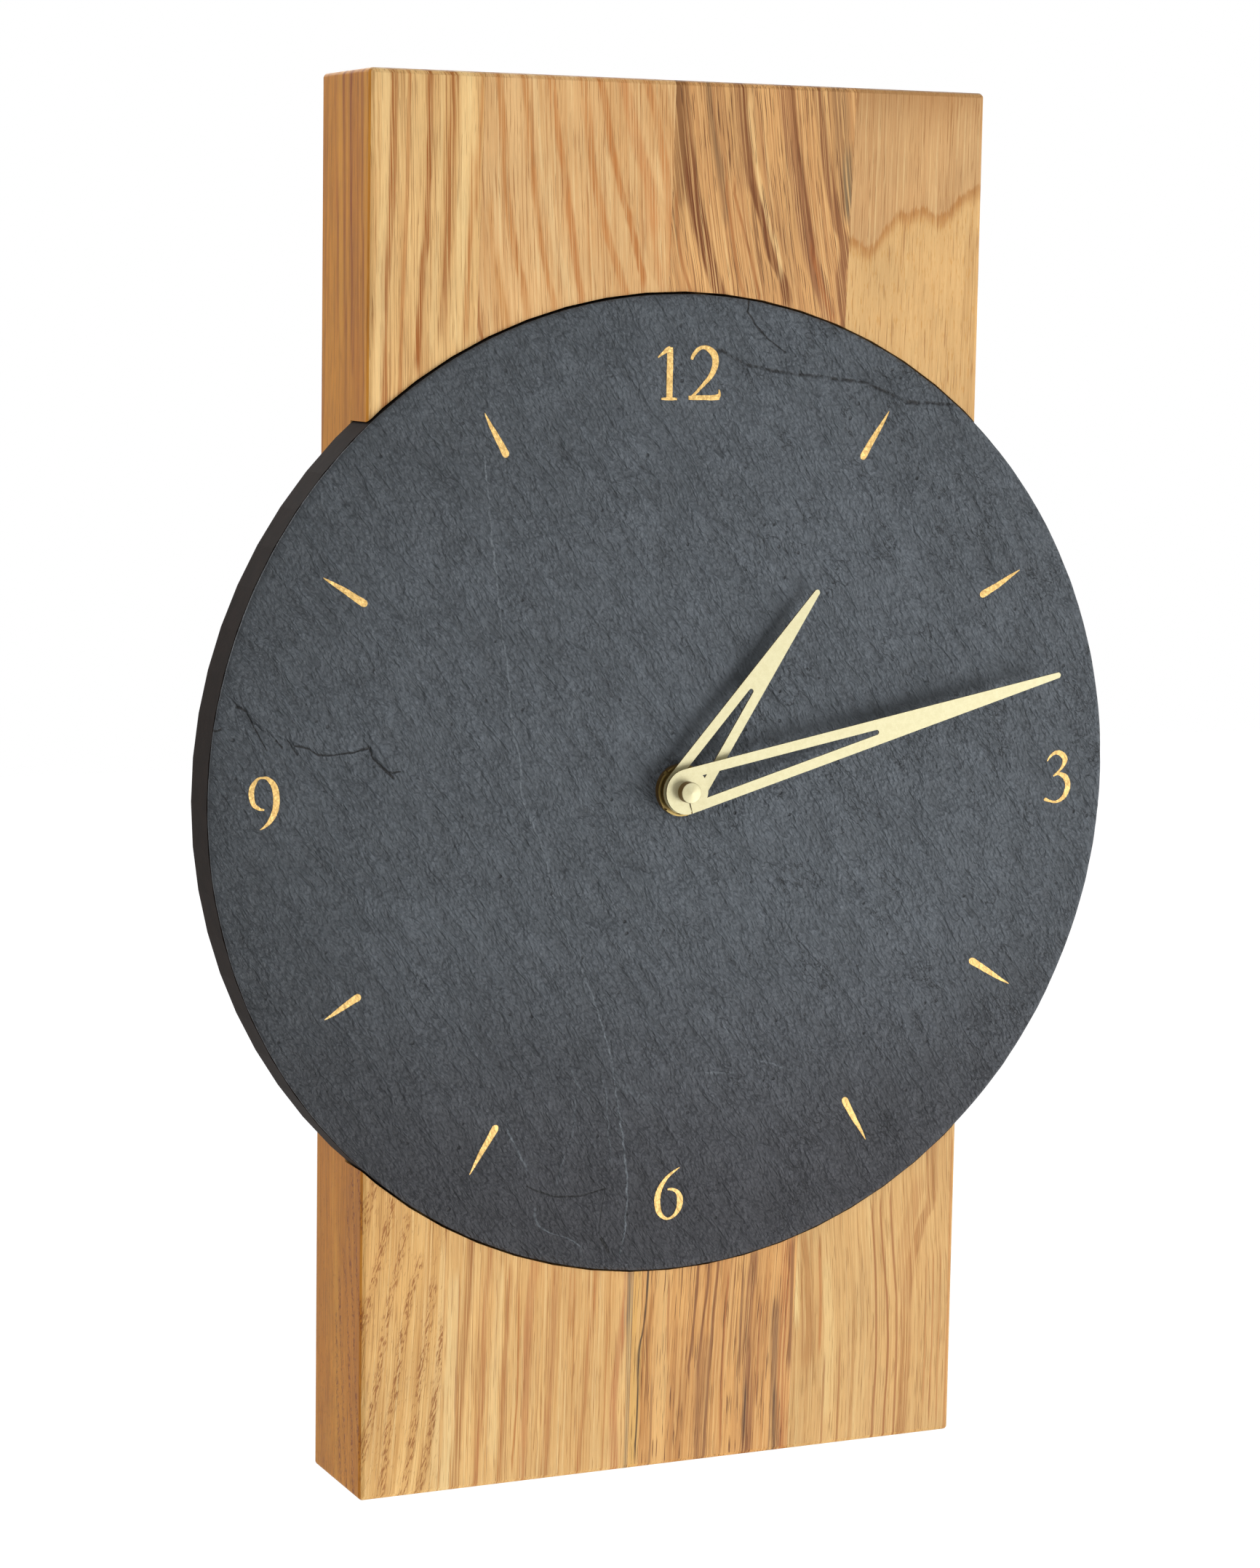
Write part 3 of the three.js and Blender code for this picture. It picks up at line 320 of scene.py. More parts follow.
    def curve(self, value, points, smooth=True):
        """A line through the given points (value, result)."""
        points = sorted(points)
        start = points[0][0]
        length = points[-1][0] - start
        results = [result for _, result in points]
        low, high = min(results) - 1, max(results) + 1
        share = self.math("DIVIDE", self.sub(value, start), length, clamp=True)
        node = self.new("ShaderNodeFloatCurve")
        line = node.mapping.curves[0]
        while len(line.points) < len(points):
            line.points.new(0.5, 0.5)
        for mark, (at, result) in zip(line.points, points):
            mark.location = ((at - start) / length, (result - low) / (high - low))
            mark.handle_type = "AUTO" if smooth else "VECTOR"
        node.mapping.update()
        self.put(share, node.inputs["Value"])
        return self.madd(node.outputs[0], high - low, low)

    def near(self, along, across, points, half_width, soft, fade=6.0, smooth=True, ragged=0.0):
        """1 on the line across = f(along) through the points, and 0 away from it and past its ends."""
        away = self.add(self.off(across, self.curve(along, points, smooth)), ragged)
        on = self.ramp(self.sub(away, half_width), soft, 0.0)
        places = [at for at, _ in points]
        start, end = min(places), max(places)
        on = self.mul(on, self.ramp(along, start - fade, start))
        return self.mul(on, self.ramp(along, end + fade, end))

    def colour(self, value):
        self.put(value, self.shader.inputs["Base Color"])

    def rough(self, value):
        self.put(value, self.shader.inputs["Roughness"])

    def metal(self, value):
        self.put(value, self.shader.inputs["Metallic"])

    def bump(self, height, strength=1.0):
        """Height in mm."""
        node = self.new("ShaderNodeBump")
        node.inputs["Strength"].default_value = strength
        node.inputs["Distance"].default_value = MM
        self.put(height, node.inputs["Height"])
        self.link(node.outputs[0], self.shader.inputs["Normal"])


# Oak

# each stave is one board: its grain runs on behind the dial, and its streaks are given as seen
# above and below the dial
CREAM = (238, 205, 150)
RUST = (180, 110, 48)
BROWN = (158, 94, 40)
SMOKE = (138, 98, 58)
COCOA = (114, 64, 26)
UMBER = (146, 90, 40)
HONEY = (233, 189, 126)
AMBER = (184, 124, 62)
GOLDEN = (206, 146, 70)
TAN = (172, 122, 72)
# painted shade: the long sides of the block are darker and warmer than its front
SIDE_SHADE_FILTER = (240, 198, 108)

# seed: where the stave's noises start
# angle: how its growth rings lie to the front, in degrees
# gap: width of a pair of rings, in mm
# wander: how far the rings stray, in mm
# lean: how far they lean aside, as (z, mm), and upright: share of it that the fine lines follow
# band, line, pore: strength of the dark rings, the fine lines and the pores
# shade: filter over the stave at the bottom and at the top of the block
# top, bottom: its four tones there, from light to deep
# streaks: (z, x) places, half width, softness, tone, strength
# flecks: rows of short dark marks, with (z, x) places and half width
# fan: mm left of the hub where the lean holds as given. Away from there it grows
# ripple: (x, z) places of a ring that crosses the stave
STAVES = [
    {
        "seed": 3.1, "angle": 50, "gap": 6.5, "wander": 1.6, "upright": 0.55,
        "band": 0.55, "line": 0.85, "pore": 0.5,
        "shade": [(266, 264, 253), (264, 261, 250)],
        "lean": [(-213, -8), (-180, -3), (-150, 0), (-110, 2), (0, 3), (110, 3), (160, 1.6), (213, 0)],
        "top": [(230, 189, 132), (210, 164, 108), (184, 134, 82), (146, 96, 50)],
        "bottom": [(231, 189, 127), (216, 170, 108), (190, 140, 82), (146, 96, 48)],
        "streaks": [
            ([(115, -96.2), (150, -96), (172, -94.8), (190, -94.2), (213, -93.6)], 0.8, 0.8, BROWN, 0.75),
            ([(118, -91.5), (150, -90.6), (185, -89.6), (213, -89)], 0.3, 0.6, RUST, 0.5),
            ([(130, -85.8), (150, -84.8), (175, -83.2), (213, -82.4)], 0.75, 0.5, BROWN, 0.85),
            ([(140, -78.2), (170, -76.6), (190, -76), (213, -75)], 0.8, 0.9, BROWN, 0.7),
            ([(140, -70.8), (165, -69.6), (185, -69)], 0.4, 0.7, RUST, 0.55),
            ([(176, -67.6), (195, -67.2), (213, -66.4)], 0.35, 0.5, RUST, 0.6),
            ([(118, -98.6), (165, -97.2), (213, -96.6)], 0.9, 0.9, CREAM, 0.6),
            ([(135, -81.4), (175, -79.6), (213, -78.6)], 0.5, 0.8, CREAM, 0.5),
            ([(138, -74), (175, -72.4), (213, -71.5)], 1.3, 1.2, CREAM, 0.75),
            ([(-213, -76.4), (-190, -76.4), (-165, -75.6), (-140, -74.5)], 0.8, 1.0, CREAM, 0.6),
        ],
        "flecks": [
            ([(-203, -101.3), (-190, -98.4), (-180, -96.6), (-170, -94.9), (-157, -93.2), (-140, -89.5),
              (-128, -87)], 0.5),
            ([(-213, -95), (-203, -93.4), (-190, -92), (-180, -90.2), (-170, -88.8), (-157, -87),
              (-142, -83)], 0.6),
            ([(-213, -87.5), (-200, -85.2), (-190, -83.8), (-178, -82.5), (-166, -80.4), (-150, -78.4)],
              0.6),
            ([(-213, -82.5), (-205, -80.6), (-197, -79.1), (-188, -77.7), (-175, -76.3), (-163, -75.4)],
              0.5),
            ([(-165, -101.5), (-150, -98.5), (-138, -95.5), (-125, -92.5), (-115, -91)], 0.6),
            ([(-130, -101.5), (-122, -99), (-113, -97)], 0.8),
        ],
    },
    {
        "seed": 12.7, "angle": 24, "gap": 5.5, "wander": 1.4, "upright": 0.2, "fan": 64,
        "band": 0.3, "line": 0.8, "pore": 0.6,
        "shade": [(258, 258, 248), (260, 260, 258)],
        "lean": [(-213, 10.8), (-185, 12.4), (-157, 14), (-120, 16), (-60, 18.5), (0, 20), (60, 20),
                 (100, 19.6), (130, 17.4), (145, 14.2), (160, 10), (178, 5.6), (195, 2.4), (213, 0)],
        "top": [(230, 185, 128), (217, 168, 111), (196, 138, 80), (162, 104, 54)],
        "bottom": [(231, 186, 125), (217, 169, 109), (196, 140, 80), (162, 104, 54)],
        "streaks": [
            ([(139, -58), (151, -60), (162, -62), (173, -63.8)], 0.6, 1.0, (196, 132, 66), 0.6),
            ([(144, -51.3), (152, -53), (160, -55.2), (172, -57.6), (190, -59.2), (208, -61), (213, -61.6)],
              0.75, 0.9, (190, 124, 62), 0.75),
            ([(146, -43), (156, -45.4), (165, -47.5), (182, -49.9), (195, -51.4), (213, -53.2)], 0.6, 0.8,
              (194, 128, 66), 0.7),
            ([(185, -46.3), (198, -47.4), (213, -48.6)], 0.3, 0.7, (200, 138, 74), 0.55),
            ([(149, -34), (157, -35.8), (165, -37), (175, -38.8), (185, -40.1), (195, -42), (213, -44.6)],
              0.7, 0.9, (192, 122, 60), 0.7),
            ([(150, -20), (158, -22.7), (168, -26.6), (177, -28.8), (185, -30.8), (200, -32.6),
              (213, -34.4)], 0.8, 1.0, (196, 128, 66), 0.7),
            ([(155, -14.2), (163, -16.5), (173, -19.4), (180, -21.9), (192, -24.7), (205, -27.2),
              (213, -29)], 0.7, 0.8, (188, 118, 56), 0.75),
            ([(172, -11.1), (183, -12.9), (190, -15.4), (198, -17.9), (213, -22)], 1.2, 1.6,
              (200, 132, 74), 0.6),
            ([(160, -4.6), (173, -5.6), (182, -6.7), (190, -8), (200, -10.4), (213, -14.4)], 0.8, 1.0,
              (194, 126, 66), 0.65),
            ([(152, -8), (162, -10), (170, -11)], 0.4, 0.8, (200, 134, 76), 0.5),
            ([(136, -65.6), (140, -66.6), (146, -67)], 0.3, 0.5, BROWN, 0.75),
            ([(150, -38), (170, -44), (190, -47), (213, -50)], 0.5, 1.6, CREAM, 0.4),
            ([(-213, -70.5), (-205, -70), (-180, -68.8), (-157, -67.3), (-136, -66)], 0.8, 0.7,
              (168, 112, 60), 0.7),
            ([(-185, -70.6), (-170, -70.2), (-150, -69.8)], 0.12, 0.35, BROWN, 0.8),
            ([(-213, -63.8), (-205, -63.3), (-180, -61.8), (-157, -61), (-140, -60)], 0.5, 0.7,
              (180, 118, 66), 0.7),
            ([(-213, -56.2), (-205, -55.8), (-175, -54.7), (-157, -53.4), (-148, -53)], 0.45, 0.6,
              (176, 114, 60), 0.75),
            ([(-213, -48.8), (-205, -48.4), (-185, -47.7), (-163, -46.8), (-146, -45)], 0.8, 1.3,
              (190, 128, 76), 0.65),
            ([(-205, -51.6), (-180, -50.2), (-157, -50)], 0.12, 0.35, RUST, 0.75),
            ([(-213, -41.4), (-205, -40.9), (-175, -39.1), (-157, -38.1), (-149, -38)], 0.8, 0.9,
              (180, 120, 68), 0.65),
            ([(-162, -32.6), (-157, -32.4), (-151, -32.4)], 0.7, 0.9, (188, 124, 66), 0.65),
            ([(-213, -29.8), (-205, -29.2), (-190, -27.8), (-172, -26.7), (-157, -25.1), (-150, -24.6)],
              0.45, 0.7, (180, 116, 60), 0.75),
            ([(-213, -21.6), (-190, -21), (-170, -20.4)], 0.12, 0.35, RUST, 0.6),
            ([(-213, -17.4), (-200, -17.8), (-190, -18), (-175, -16.5), (-157, -13.8), (-151, -13.4)],
              0.7, 1.3, (182, 114, 66), 0.7),
            ([(-213, -13), (-200, -12.9), (-186, -12.8), (-170, -12.8)], 0.5, 1.2, (128, 100, 70), 0.7),
            ([(-164, -12.8), (-157, -12.4), (-150, -12.6)], 0.7, 1.1, (124, 106, 80), 0.75),
            ([(-213, -73.6), (-185, -72.6), (-150, -71.6)], 1.3, 0.9, CREAM, 0.7),
            ([(-200, -58), (-175, -57.2), (-150, -56)], 0.8, 1.0, CREAM, 0.45),
        ],
    },
    {
        "seed": 22.9, "angle": 20, "gap": 5.0, "wander": 2.4, "upright": 0.55,
        "band": 0.4, "line": 0.85, "pore": 0.9,
        "shade": [(256, 243, 219), (266, 257, 243)],
        "lean": [(-213, 20), (-180, 22), (-157, 24), (-120, 26), (-60, 28), (0, 28), (60, 26.5),
                 (110, 23.4), (135, 19.5), (150, 16), (165, 11.4), (180, 7), (195, 3.4), (213, 0)],
        "top": [(220, 174, 117), (203, 155, 102), (166, 117, 74), (108, 70, 40)],
        "bottom": [(224, 177, 116), (206, 156, 98), (172, 120, 70), (112, 72, 38)],
        "streaks": [
            ([(150, 11.6), (157, 8.6), (163, 6.4), (172, 3.8), (180, 1.8), (190, 0), (200, -1.6),
              (213, -3)], 1.7, 1.3, COCOA, 0.9),
            ([(178, -3.2), (190, -3), (200, -3), (213, -3)], 1.4, 1.4, SMOKE, 0.7),
            ([(151, 1.4), (164, -2.4), (176, -3.6)], 0.25, 0.5, BROWN, 0.6),
            ([(176, 12.9), (186, 11), (195, 9), (203, 7.4), (213, 6.2)], 0.5, 1.6, (132, 102, 70), 0.7),
            ([(150, 19.6), (157, 17.4), (168, 15.4), (180, 13)], 0.25, 0.6, BROWN, 0.55),
            ([(149, 34.4), (154, 33), (162, 28.6), (170, 26.6), (178, 23.6), (186, 21.2), (196, 19.6),
              (213, 17.6)], 1.1, 1.1, COCOA, 0.9),
            ([(185, 19.4), (197, 17.8), (213, 15.6)], 1.2, 1.8, (158, 114, 74), 0.6),
            ([(160, 31.6), (175, 26.6), (190, 22.6), (205, 20.6)], 0.4, 0.9, CREAM, 0.7),
            ([(145, 48.4), (152, 45.6), (158, 43.2), (165, 41), (172, 39.4), (180, 38), (190, 36),
              (213, 31.8)], 1.7, 1.5, (148, 102, 66), 0.8),
            ([(144, 49.6), (150, 47), (156, 44.6), (163, 42.4)], 0.5, 0.9, (158, 96, 48), 0.7),
            ([(165, 42.8), (180, 39.6), (195, 36.6), (213, 34.4)], 0.3, 0.5, COCOA, 0.7),
            ([(143, 54.2), (154, 52.4), (163, 53.6), (172, 51.2), (180, 49), (190, 46.8), (213, 42.6)],
              1.3, 1.2, (138, 92, 56), 0.8),
            ([(178, 54.4), (190, 52.8), (200, 51.6), (213, 50)], 1.6, 2.0, (146, 108, 72), 0.75),
            ([(177, 54.9), (184, 54.2), (190, 53.8)], 0.9, 1.4, (122, 106, 80), 0.75),
            ([(150, 24.6), (165, 20.6), (180, 15.8)], 0.2, 0.5, BROWN, 0.6),
            ([(-213, -11.6), (-195, -11), (-180, -10.5), (-168, -10.4), (-150, -10.2)], 1.4, 1.0,
              (222, 184, 116), 0.75),
            ([(-205, -10.3), (-202, -10.1), (-190, -9.6), (-180, -9.4), (-173, -8.9), (-170, -8.1),
              (-163, -7.2), (-150, -6.5)], 0.16, 0.3, (62, 46, 28), 0.95),
            ([(-188, -6.5), (-180, -6.4), (-172, -6.6)], 0.15, 0.4, COCOA, 0.75),
            ([(-213, -5.4), (-205, -5), (-190, -4.8)], 0.15, 0.4, COCOA, 0.6),
            ([(-200, -7.6), (-180, -7.4), (-162, -5.6)], 0.9, 0.8, (176, 122, 62), 0.6),
            ([(-213, -2.4), (-180, -1.6), (-150, -1)], 1.6, 1.8, CREAM, 0.4),
            ([(-175, 0.5), (-165, 0.6), (-157, 0.7)], 0.12, 0.4, BROWN, 0.6),
            ([(-213, 3.6), (-190, 4), (-172, 4.6)], 1.8, 1.8, (184, 134, 80), 0.6),
            ([(-182, 7.9), (-170, 9.2), (-157, 10.3), (-151, 10.6)], 0.2, 0.4, COCOA, 0.8),
            ([(-182, 11.2), (-170, 12.4), (-157, 13.9), (-151, 14.3)], 0.22, 0.4, COCOA, 0.8),
            ([(-213, 13.4), (-205, 13.9), (-180, 15.3), (-170, 16), (-151, 17.4)], 0.22, 0.4, COCOA, 0.75),
            ([(-213, 12), (-195, 12.2), (-178, 13)], 1.3, 1.6, (156, 112, 70), 0.65),
            ([(-205, 19.4), (-175, 19.9), (-157, 21)], 0.2, 0.4, BROWN, 0.7),
            ([(-182, 25.8), (-157, 26.1)], 0.15, 0.4, COCOA, 0.7),
            ([(-213, 28.4), (-190, 28.8), (-175, 28.1), (-157, 29.2), (-150, 30)], 1.1, 1.1,
              (140, 92, 54), 0.8),
            ([(-204, 27.7), (-199, 27.8), (-194, 27.9)], 0.4, 0.8, (84, 56, 34), 0.8),
            ([(-192, 31.6), (-180, 32.2), (-165, 32.6)], 0.15, 0.4, BROWN, 0.6),
            ([(-213, 37.4), (-200, 38), (-185, 38), (-168, 38.4)], 0.9, 1.2, (136, 98, 64), 0.7),
            ([(-213, 38.6), (-205, 38.8), (-196, 38.8)], 0.5, 0.8, (70, 48, 30), 0.85),
            ([(-213, 40.6), (-190, 41), (-170, 41.4), (-148, 41.6)], 1.4, 1.2, (172, 110, 60), 0.75),
            ([(-182, 43.3), (-170, 43.5), (-148, 43.7)], 0.3, 0.5, COCOA, 0.7),
        ],
    },
    {
        "seed": 33.3, "angle": 10, "gap": 9.0, "wander": 2.0, "upright": 0.6,
        "band": 0.3, "line": 0.6, "pore": 0.6,
        "shade": [(250, 247, 229), (255, 254, 248)],
        "lean": [(-213, 0), (-185, 0.8), (-165, 0), (-140, -2.6), (-110, -5), (0, -6), (110, -3), (160, -1),
                 (213, 0)],
        "top": [(218, 173, 121), (208, 161, 109), (192, 142, 92), (164, 112, 64)],
        "bottom": [(228, 185, 128), (216, 170, 113), (192, 142, 88), (156, 106, 58)],
        "streaks": [
            ([(112, 99.4), (125, 98.4), (140, 97.6), (150, 98), (165, 99)], 1.6, 2.4, (158, 106, 60), 0.75),
            ([(118, 93), (132, 92), (146, 91.6)], 0.4, 1.4, (180, 130, 78), 0.5),
            ([(155, 97.2), (162, 97), (170, 97.4)], 0.12, 0.4, BROWN, 0.6),
            ([(162, 73.3), (167, 73.4), (172, 73.6)], 0.12, 0.35, BROWN, 0.65),
            ([(143, 78.2), (150, 78.3), (157, 78.5)], 0.12, 0.35, BROWN, 0.55),
            ([(138, 81), (146, 81), (154, 81.2)], 0.12, 0.35, BROWN, 0.5),
            ([(132, 84.8), (142, 84.8), (152, 85)], 0.15, 0.4, BROWN, 0.5),
            ([(-168, 45.6), (-157, 45.4), (-148, 45.2)], 0.8, 0.7, CREAM, 0.8),
            ([(-182, 49.4), (-170, 49.4), (-160, 48.6), (-147, 48)], 1.4, 1.6, (178, 124, 68), 0.7),
            ([(-178, 53.8), (-165, 53.8), (-150, 53.2)], 0.25, 0.5, RUST, 0.7),
            ([(-200, 56.6), (-175, 56.4), (-157, 55.6)], 0.8, 1.0, CREAM, 0.5),
            ([(-213, 55), (-200, 55.2), (-188, 55.6)], 0.15, 0.4, BROWN, 0.6),
            ([(-213, 60.6), (-200, 60.8), (-184, 61)], 0.15, 0.4, BROWN, 0.6),
            ([(-213, 64.6), (-195, 65), (-175, 64.8)], 0.6, 1.2, (190, 138, 84), 0.45),
            ([(-213, 73.2), (-205, 73.4), (-190, 74.1), (-175, 73.8), (-157, 73.1), (-140, 71.6)],
              0.16, 0.4, BROWN, 0.8),
            ([(-213, 77.5), (-205, 77.7), (-185, 78.3), (-170, 77.7), (-157, 76.3), (-138, 74.4)],
              0.16, 0.4, BROWN, 0.8),
            ([(-213, 81.2), (-205, 81.3), (-185, 81.4), (-170, 81.1), (-157, 79.9), (-136, 78)],
              0.16, 0.4, BROWN, 0.75),
            ([(-213, 84), (-200, 84.4), (-184, 84.8), (-172, 84.4), (-160, 85.4), (-150, 87.6), (-142, 90),
              (-134, 93), (-124, 92.6), (-114, 92.4)], 1.3, 0.9, (178, 124, 70), 0.75),
            ([(-164, 83), (-157, 82.6), (-145, 84.6), (-132, 88)], 1.4, 1.8, (192, 140, 86), 0.6),
            ([(-200, 91.6), (-180, 91.7), (-160, 91.5)], 0.12, 0.35, RUST, 0.5),
            ([(-205, 94), (-180, 94.2), (-157, 94)], 0.14, 0.35, RUST, 0.6),
            ([(-205, 96.6), (-180, 96.6), (-157, 96.6)], 0.12, 0.35, RUST, 0.5),
            ([(-213, 99.6), (-180, 99.8), (-120, 99.8)], 0.25, 0.5, RUST, 0.5),
        ],
        "ripple": [(54, 168), (56.3, 167.5), (59.1, 165.8), (62, 164.5), (64.1, 166), (67, 170),
                   (69.9, 173), (72.4, 175.6), (74.9, 175), (77.7, 176.5), (81.3, 177), (84.9, 175),
                   (88.4, 175.5), (90.6, 177.5), (92.7, 180), (95.6, 182), (98.4, 183.5), (101, 184.5)],
    },
]


def oak(number):
    """The oak of one stave, numbered from the left."""
    spec = STAVES[number]
    seed, angle = spec["seed"], math.radians(spec["angle"])
    g = Graph(f"oak_{number + 1}", roughness=0.5, specular=0.22)
    x, y, z = g.x, g.y, g.z
    upper = g.ramp(z, -55, 55)
    lean = g.curve(z, spec["lean"])
    wander = g.sub(g.noise(g.madd(x, 0.03, seed), g.mul(y, 0.03), g.mul(z, 0.014), 3.0, 0.55), 0.5)
    if "fan" in spec:
        # the rings lean more towards the middle of the block
        away = g.madd(lean, -1.3, g.add(x, spec["fan"]))
        lean = g.mul(lean, g.madd(g.mul(away, away), 0.0006, 1.0))

    def rings(bend):
        """Places across the rings and along them, in mm, when the rings follow the given bend."""
        u = g.madd(wander, spec["wander"], g.sub(x, bend))
        return (g.madd(u, math.cos(angle), g.mul(y, math.sin(angle))),
                g.madd(y, math.cos(angle), g.mul(u, -math.sin(angle))))

    def ring_noise(places, scales, start, *shape):
        """Noise with the given scales per mm across the rings, along them and upwards."""
        across, along = places
        return g.noise(g.madd(across, scales[0], seed * start), g.mul(along, scales[1]),
                       g.mul(z, scales[2]), *shape)

    coarse = rings(lean)
    fine = rings(g.mul(g.curve(z, spec["lean"]), spec["upright"]))
    per_mm = 1 / math.cos(angle)
    broad = ring_noise(coarse, (0.11, 0.03, 0.005), 1, 2.0)
    bands = ring_noise(coarse, (1 / spec["gap"], 0.05, 0.006), 1.7, 3.0, 0.6)
    lines = ring_noise(fine, (1.5 * per_mm, 0.4, 0.014), 2.3, 4.0, 0.72)
    pores = ring_noise(fine, (3.4 * per_mm, 2.2, 0.075), 3.1, 1.0)
    fibre = g.noise(g.mul(fine[0], 7.0), g.mul(fine[1], 7.0), g.mul(z, 0.3), 1.0)
    cloud = g.noise(g.madd(x, 0.05, seed), g.mul(y, 0.05), g.mul(z, 0.03), 3.0, 0.6)
    threads = ring_noise(fine, (2.6 * per_mm, 0.8, 0.02), 4.1, 2.0, 0.6)

    light, mid, dark, deep = (g.mix(upper, low, high) for low, high in zip(spec["bottom"], spec["top"]))
    colour = g.mix(g.ramp(broad, 0.36, 0.62), light, mid)
    colour = g.mix(g.mul(g.ramp(lines, 0.47, 0.32), 0.6), colour, CREAM)
    colour = g.mix(g.mul(g.ramp(bands, 0.5, 0.66), spec["band"]), colour, dark)
    colour = g.mix(g.mul(g.ramp(lines, 0.52, 0.68), spec["line"]), colour, dark)
    colour = g.mix(g.mul(g.ramp(threads, 0.55, 0.68), spec["line"], 0.7), colour, deep)
    colour = g.mix(g.mul(g.ramp(threads, 0.45, 0.33), 0.45), colour, CREAM)

    # the streaks run through the block along its rings, and are placed as they show at the front
    shift = g.madd(wander, 1.6, g.madd(g.sub(y, SLATE_BACK), math.tan(angle), x))
    ragged = g.madd(g.sub(lines, 0.5), 3.4, g.mul(g.sub(threads, 0.5), 1.6))
    broken = g.ramp(threads, 0.36, 0.6, 0.3, 1.25)
    colour = streaks(g, colour, spec["streaks"], shift, ragged, broken)
    pore = g.ramp(pores, 0.62, 0.69)
    height = g.mul(pore, -0.05)
    if "flecks" in spec:
        colour, height = flecks(g, colour, height, spec["flecks"], shift, dark)
    if "ripple" in spec:
        blend = g.madd(lines, 1.3, g.mul(pores, 0.5))
        colour = ripple(g, colour, spec["ripple"], blend, cloud)

    colour = g.mix(g.mul(pore, spec["pore"]), colour, deep)
    colour = g.tint(colour, g.madd(fibre, 0.24, 0.88))
    colour = g.filter(g.tint(colour, g.madd(cloud, 0.38, 0.81)), g.mix(upper, *spec["shade"]))
    # painted shade: the long sides are drawn darker and warmer than the front
    # the left side counts in full, and the right side, which the photograph doesn't show, in part
    sideways = g.split("Normal")[0]
    side = g.most(g.mul(sideways, -1.0), g.mul(sideways, 0.62))
    g.colour(g.mix(g.ramp(side, 0.3, 0.9), colour, g.filter(colour, SIDE_SHADE_FILTER)))
    g.rough(g.madd(lines, 0.2, 0.4))
    g.bump(g.madd(fibre, 0.012, g.madd(lines, 0.02, height)), 0.8)
    return g.material


def streaks(g, colour, table, shift, ragged, broken):
    """Listed streaks over the rings. Wide ones are frayed and broken, and hairlines are nearly whole."""
    hairline = 0.3
    for points, half, soft, tone, strength in table:
        wide = half > hairline
        on = g.near(g.z, shift, points, half, soft, 8.0, ragged=ragged if wide else g.mul(ragged, 0.3))
        share = g.math("MINIMUM", g.mul(broken, strength), 1.0) if wide else strength
        colour = g.mix(g.mul(on, share), colour, tone)
    return colour


def flecks(g, colour, height, rows, shift, dark):
    """Rows of short dark marks that lean to the right, and a few loose ones near the bottom."""
    x, y, z = g.x, g.y, g.z
    marks = g.noise(g.madd(x, 2.1, g.mul(z, -0.6)), g.mul(y, 1.2), g.mul(z, 0.4), 2.0, 0.6)
    row = 0.0
    for points, half in rows:
        row = g.most(row, g.near(z, shift, points, half, 1.3, 6.0))
    colour = g.mix(g.mul(row, 0.35), colour, dark)
    loose = g.mul(g.ramp(marks, 0.62, 0.68), g.ramp(z, -95, -115), 0.4)
    mark = g.most(g.mul(g.ramp(marks, 0.5, 0.6), row), loose)
    return g.mix(g.mul(mark, 0.85), colour, UMBER), g.madd(mark, -0.05, height)


def ripple(g, colour, points, blend, cloud):
    """A rippled ring across the stave: smooth and pinkish above it, lighter and flecked below."""
    x, z = g.x, g.z
    comb = g.sub(g.noise(g.mul(x, 2.2), 0.0, g.mul(z, 0.12), 2.0, 0.6), 0.5)
    rag = g.sub(g.noise(g.mul(x, 0.9), 0.0, g.mul(z, 0.3), 3.0, 0.65), 0.5)
    above = g.madd(comb, 5.0, g.sub(z, g.madd(rag, 3.4, g.curve(x, points))))
    shown = g.ramp(z, 20, 110)
    lower = g.mul(g.ramp(above, 0.4, -1.6), shown)
    colour = g.mix(g.mul(lower, 0.6), colour, HONEY)
    fringe = g.mul(g.ramp(above, 1.4, -0.2), g.ramp(above, -5.5, -0.6), shown)
    colour = g.mix(g.mul(fringe, g.ramp(blend, 0.6, 1.0, 0.25, 0.85)), colour, AMBER)
    dots = g.ramp(g.noise(g.mul(x, 1.7), 0.0, g.mul(z, 0.2), 2.0, 0.7), 0.55, 0.66)
    colour = g.mix(g.mul(dots, lower, 0.55), colour, GOLDEN)
    top = g.ramp(g.madd(cloud, 20.0, z), 208, 226)
    return g.mix(g.mul(top, 0.6), colour, TAN)


# Slate

SLATE_LIGHT = (88, 94, 100)
SLATE_DARK = (62, 63, 68)
VEIN_AND_GLINT_TONE = (124, 131, 137)
CRACK_SHADE_TONE = (17, 17, 18)
LEAF_DARK = (206, 164, 92)
LEAF_LIGHT = (232, 194, 122)
WORN_LEAF = (96, 82, 62)
# direction of the fine grain, down to the right
GRAIN_X, GRAIN_Z = 0.616, 0.788
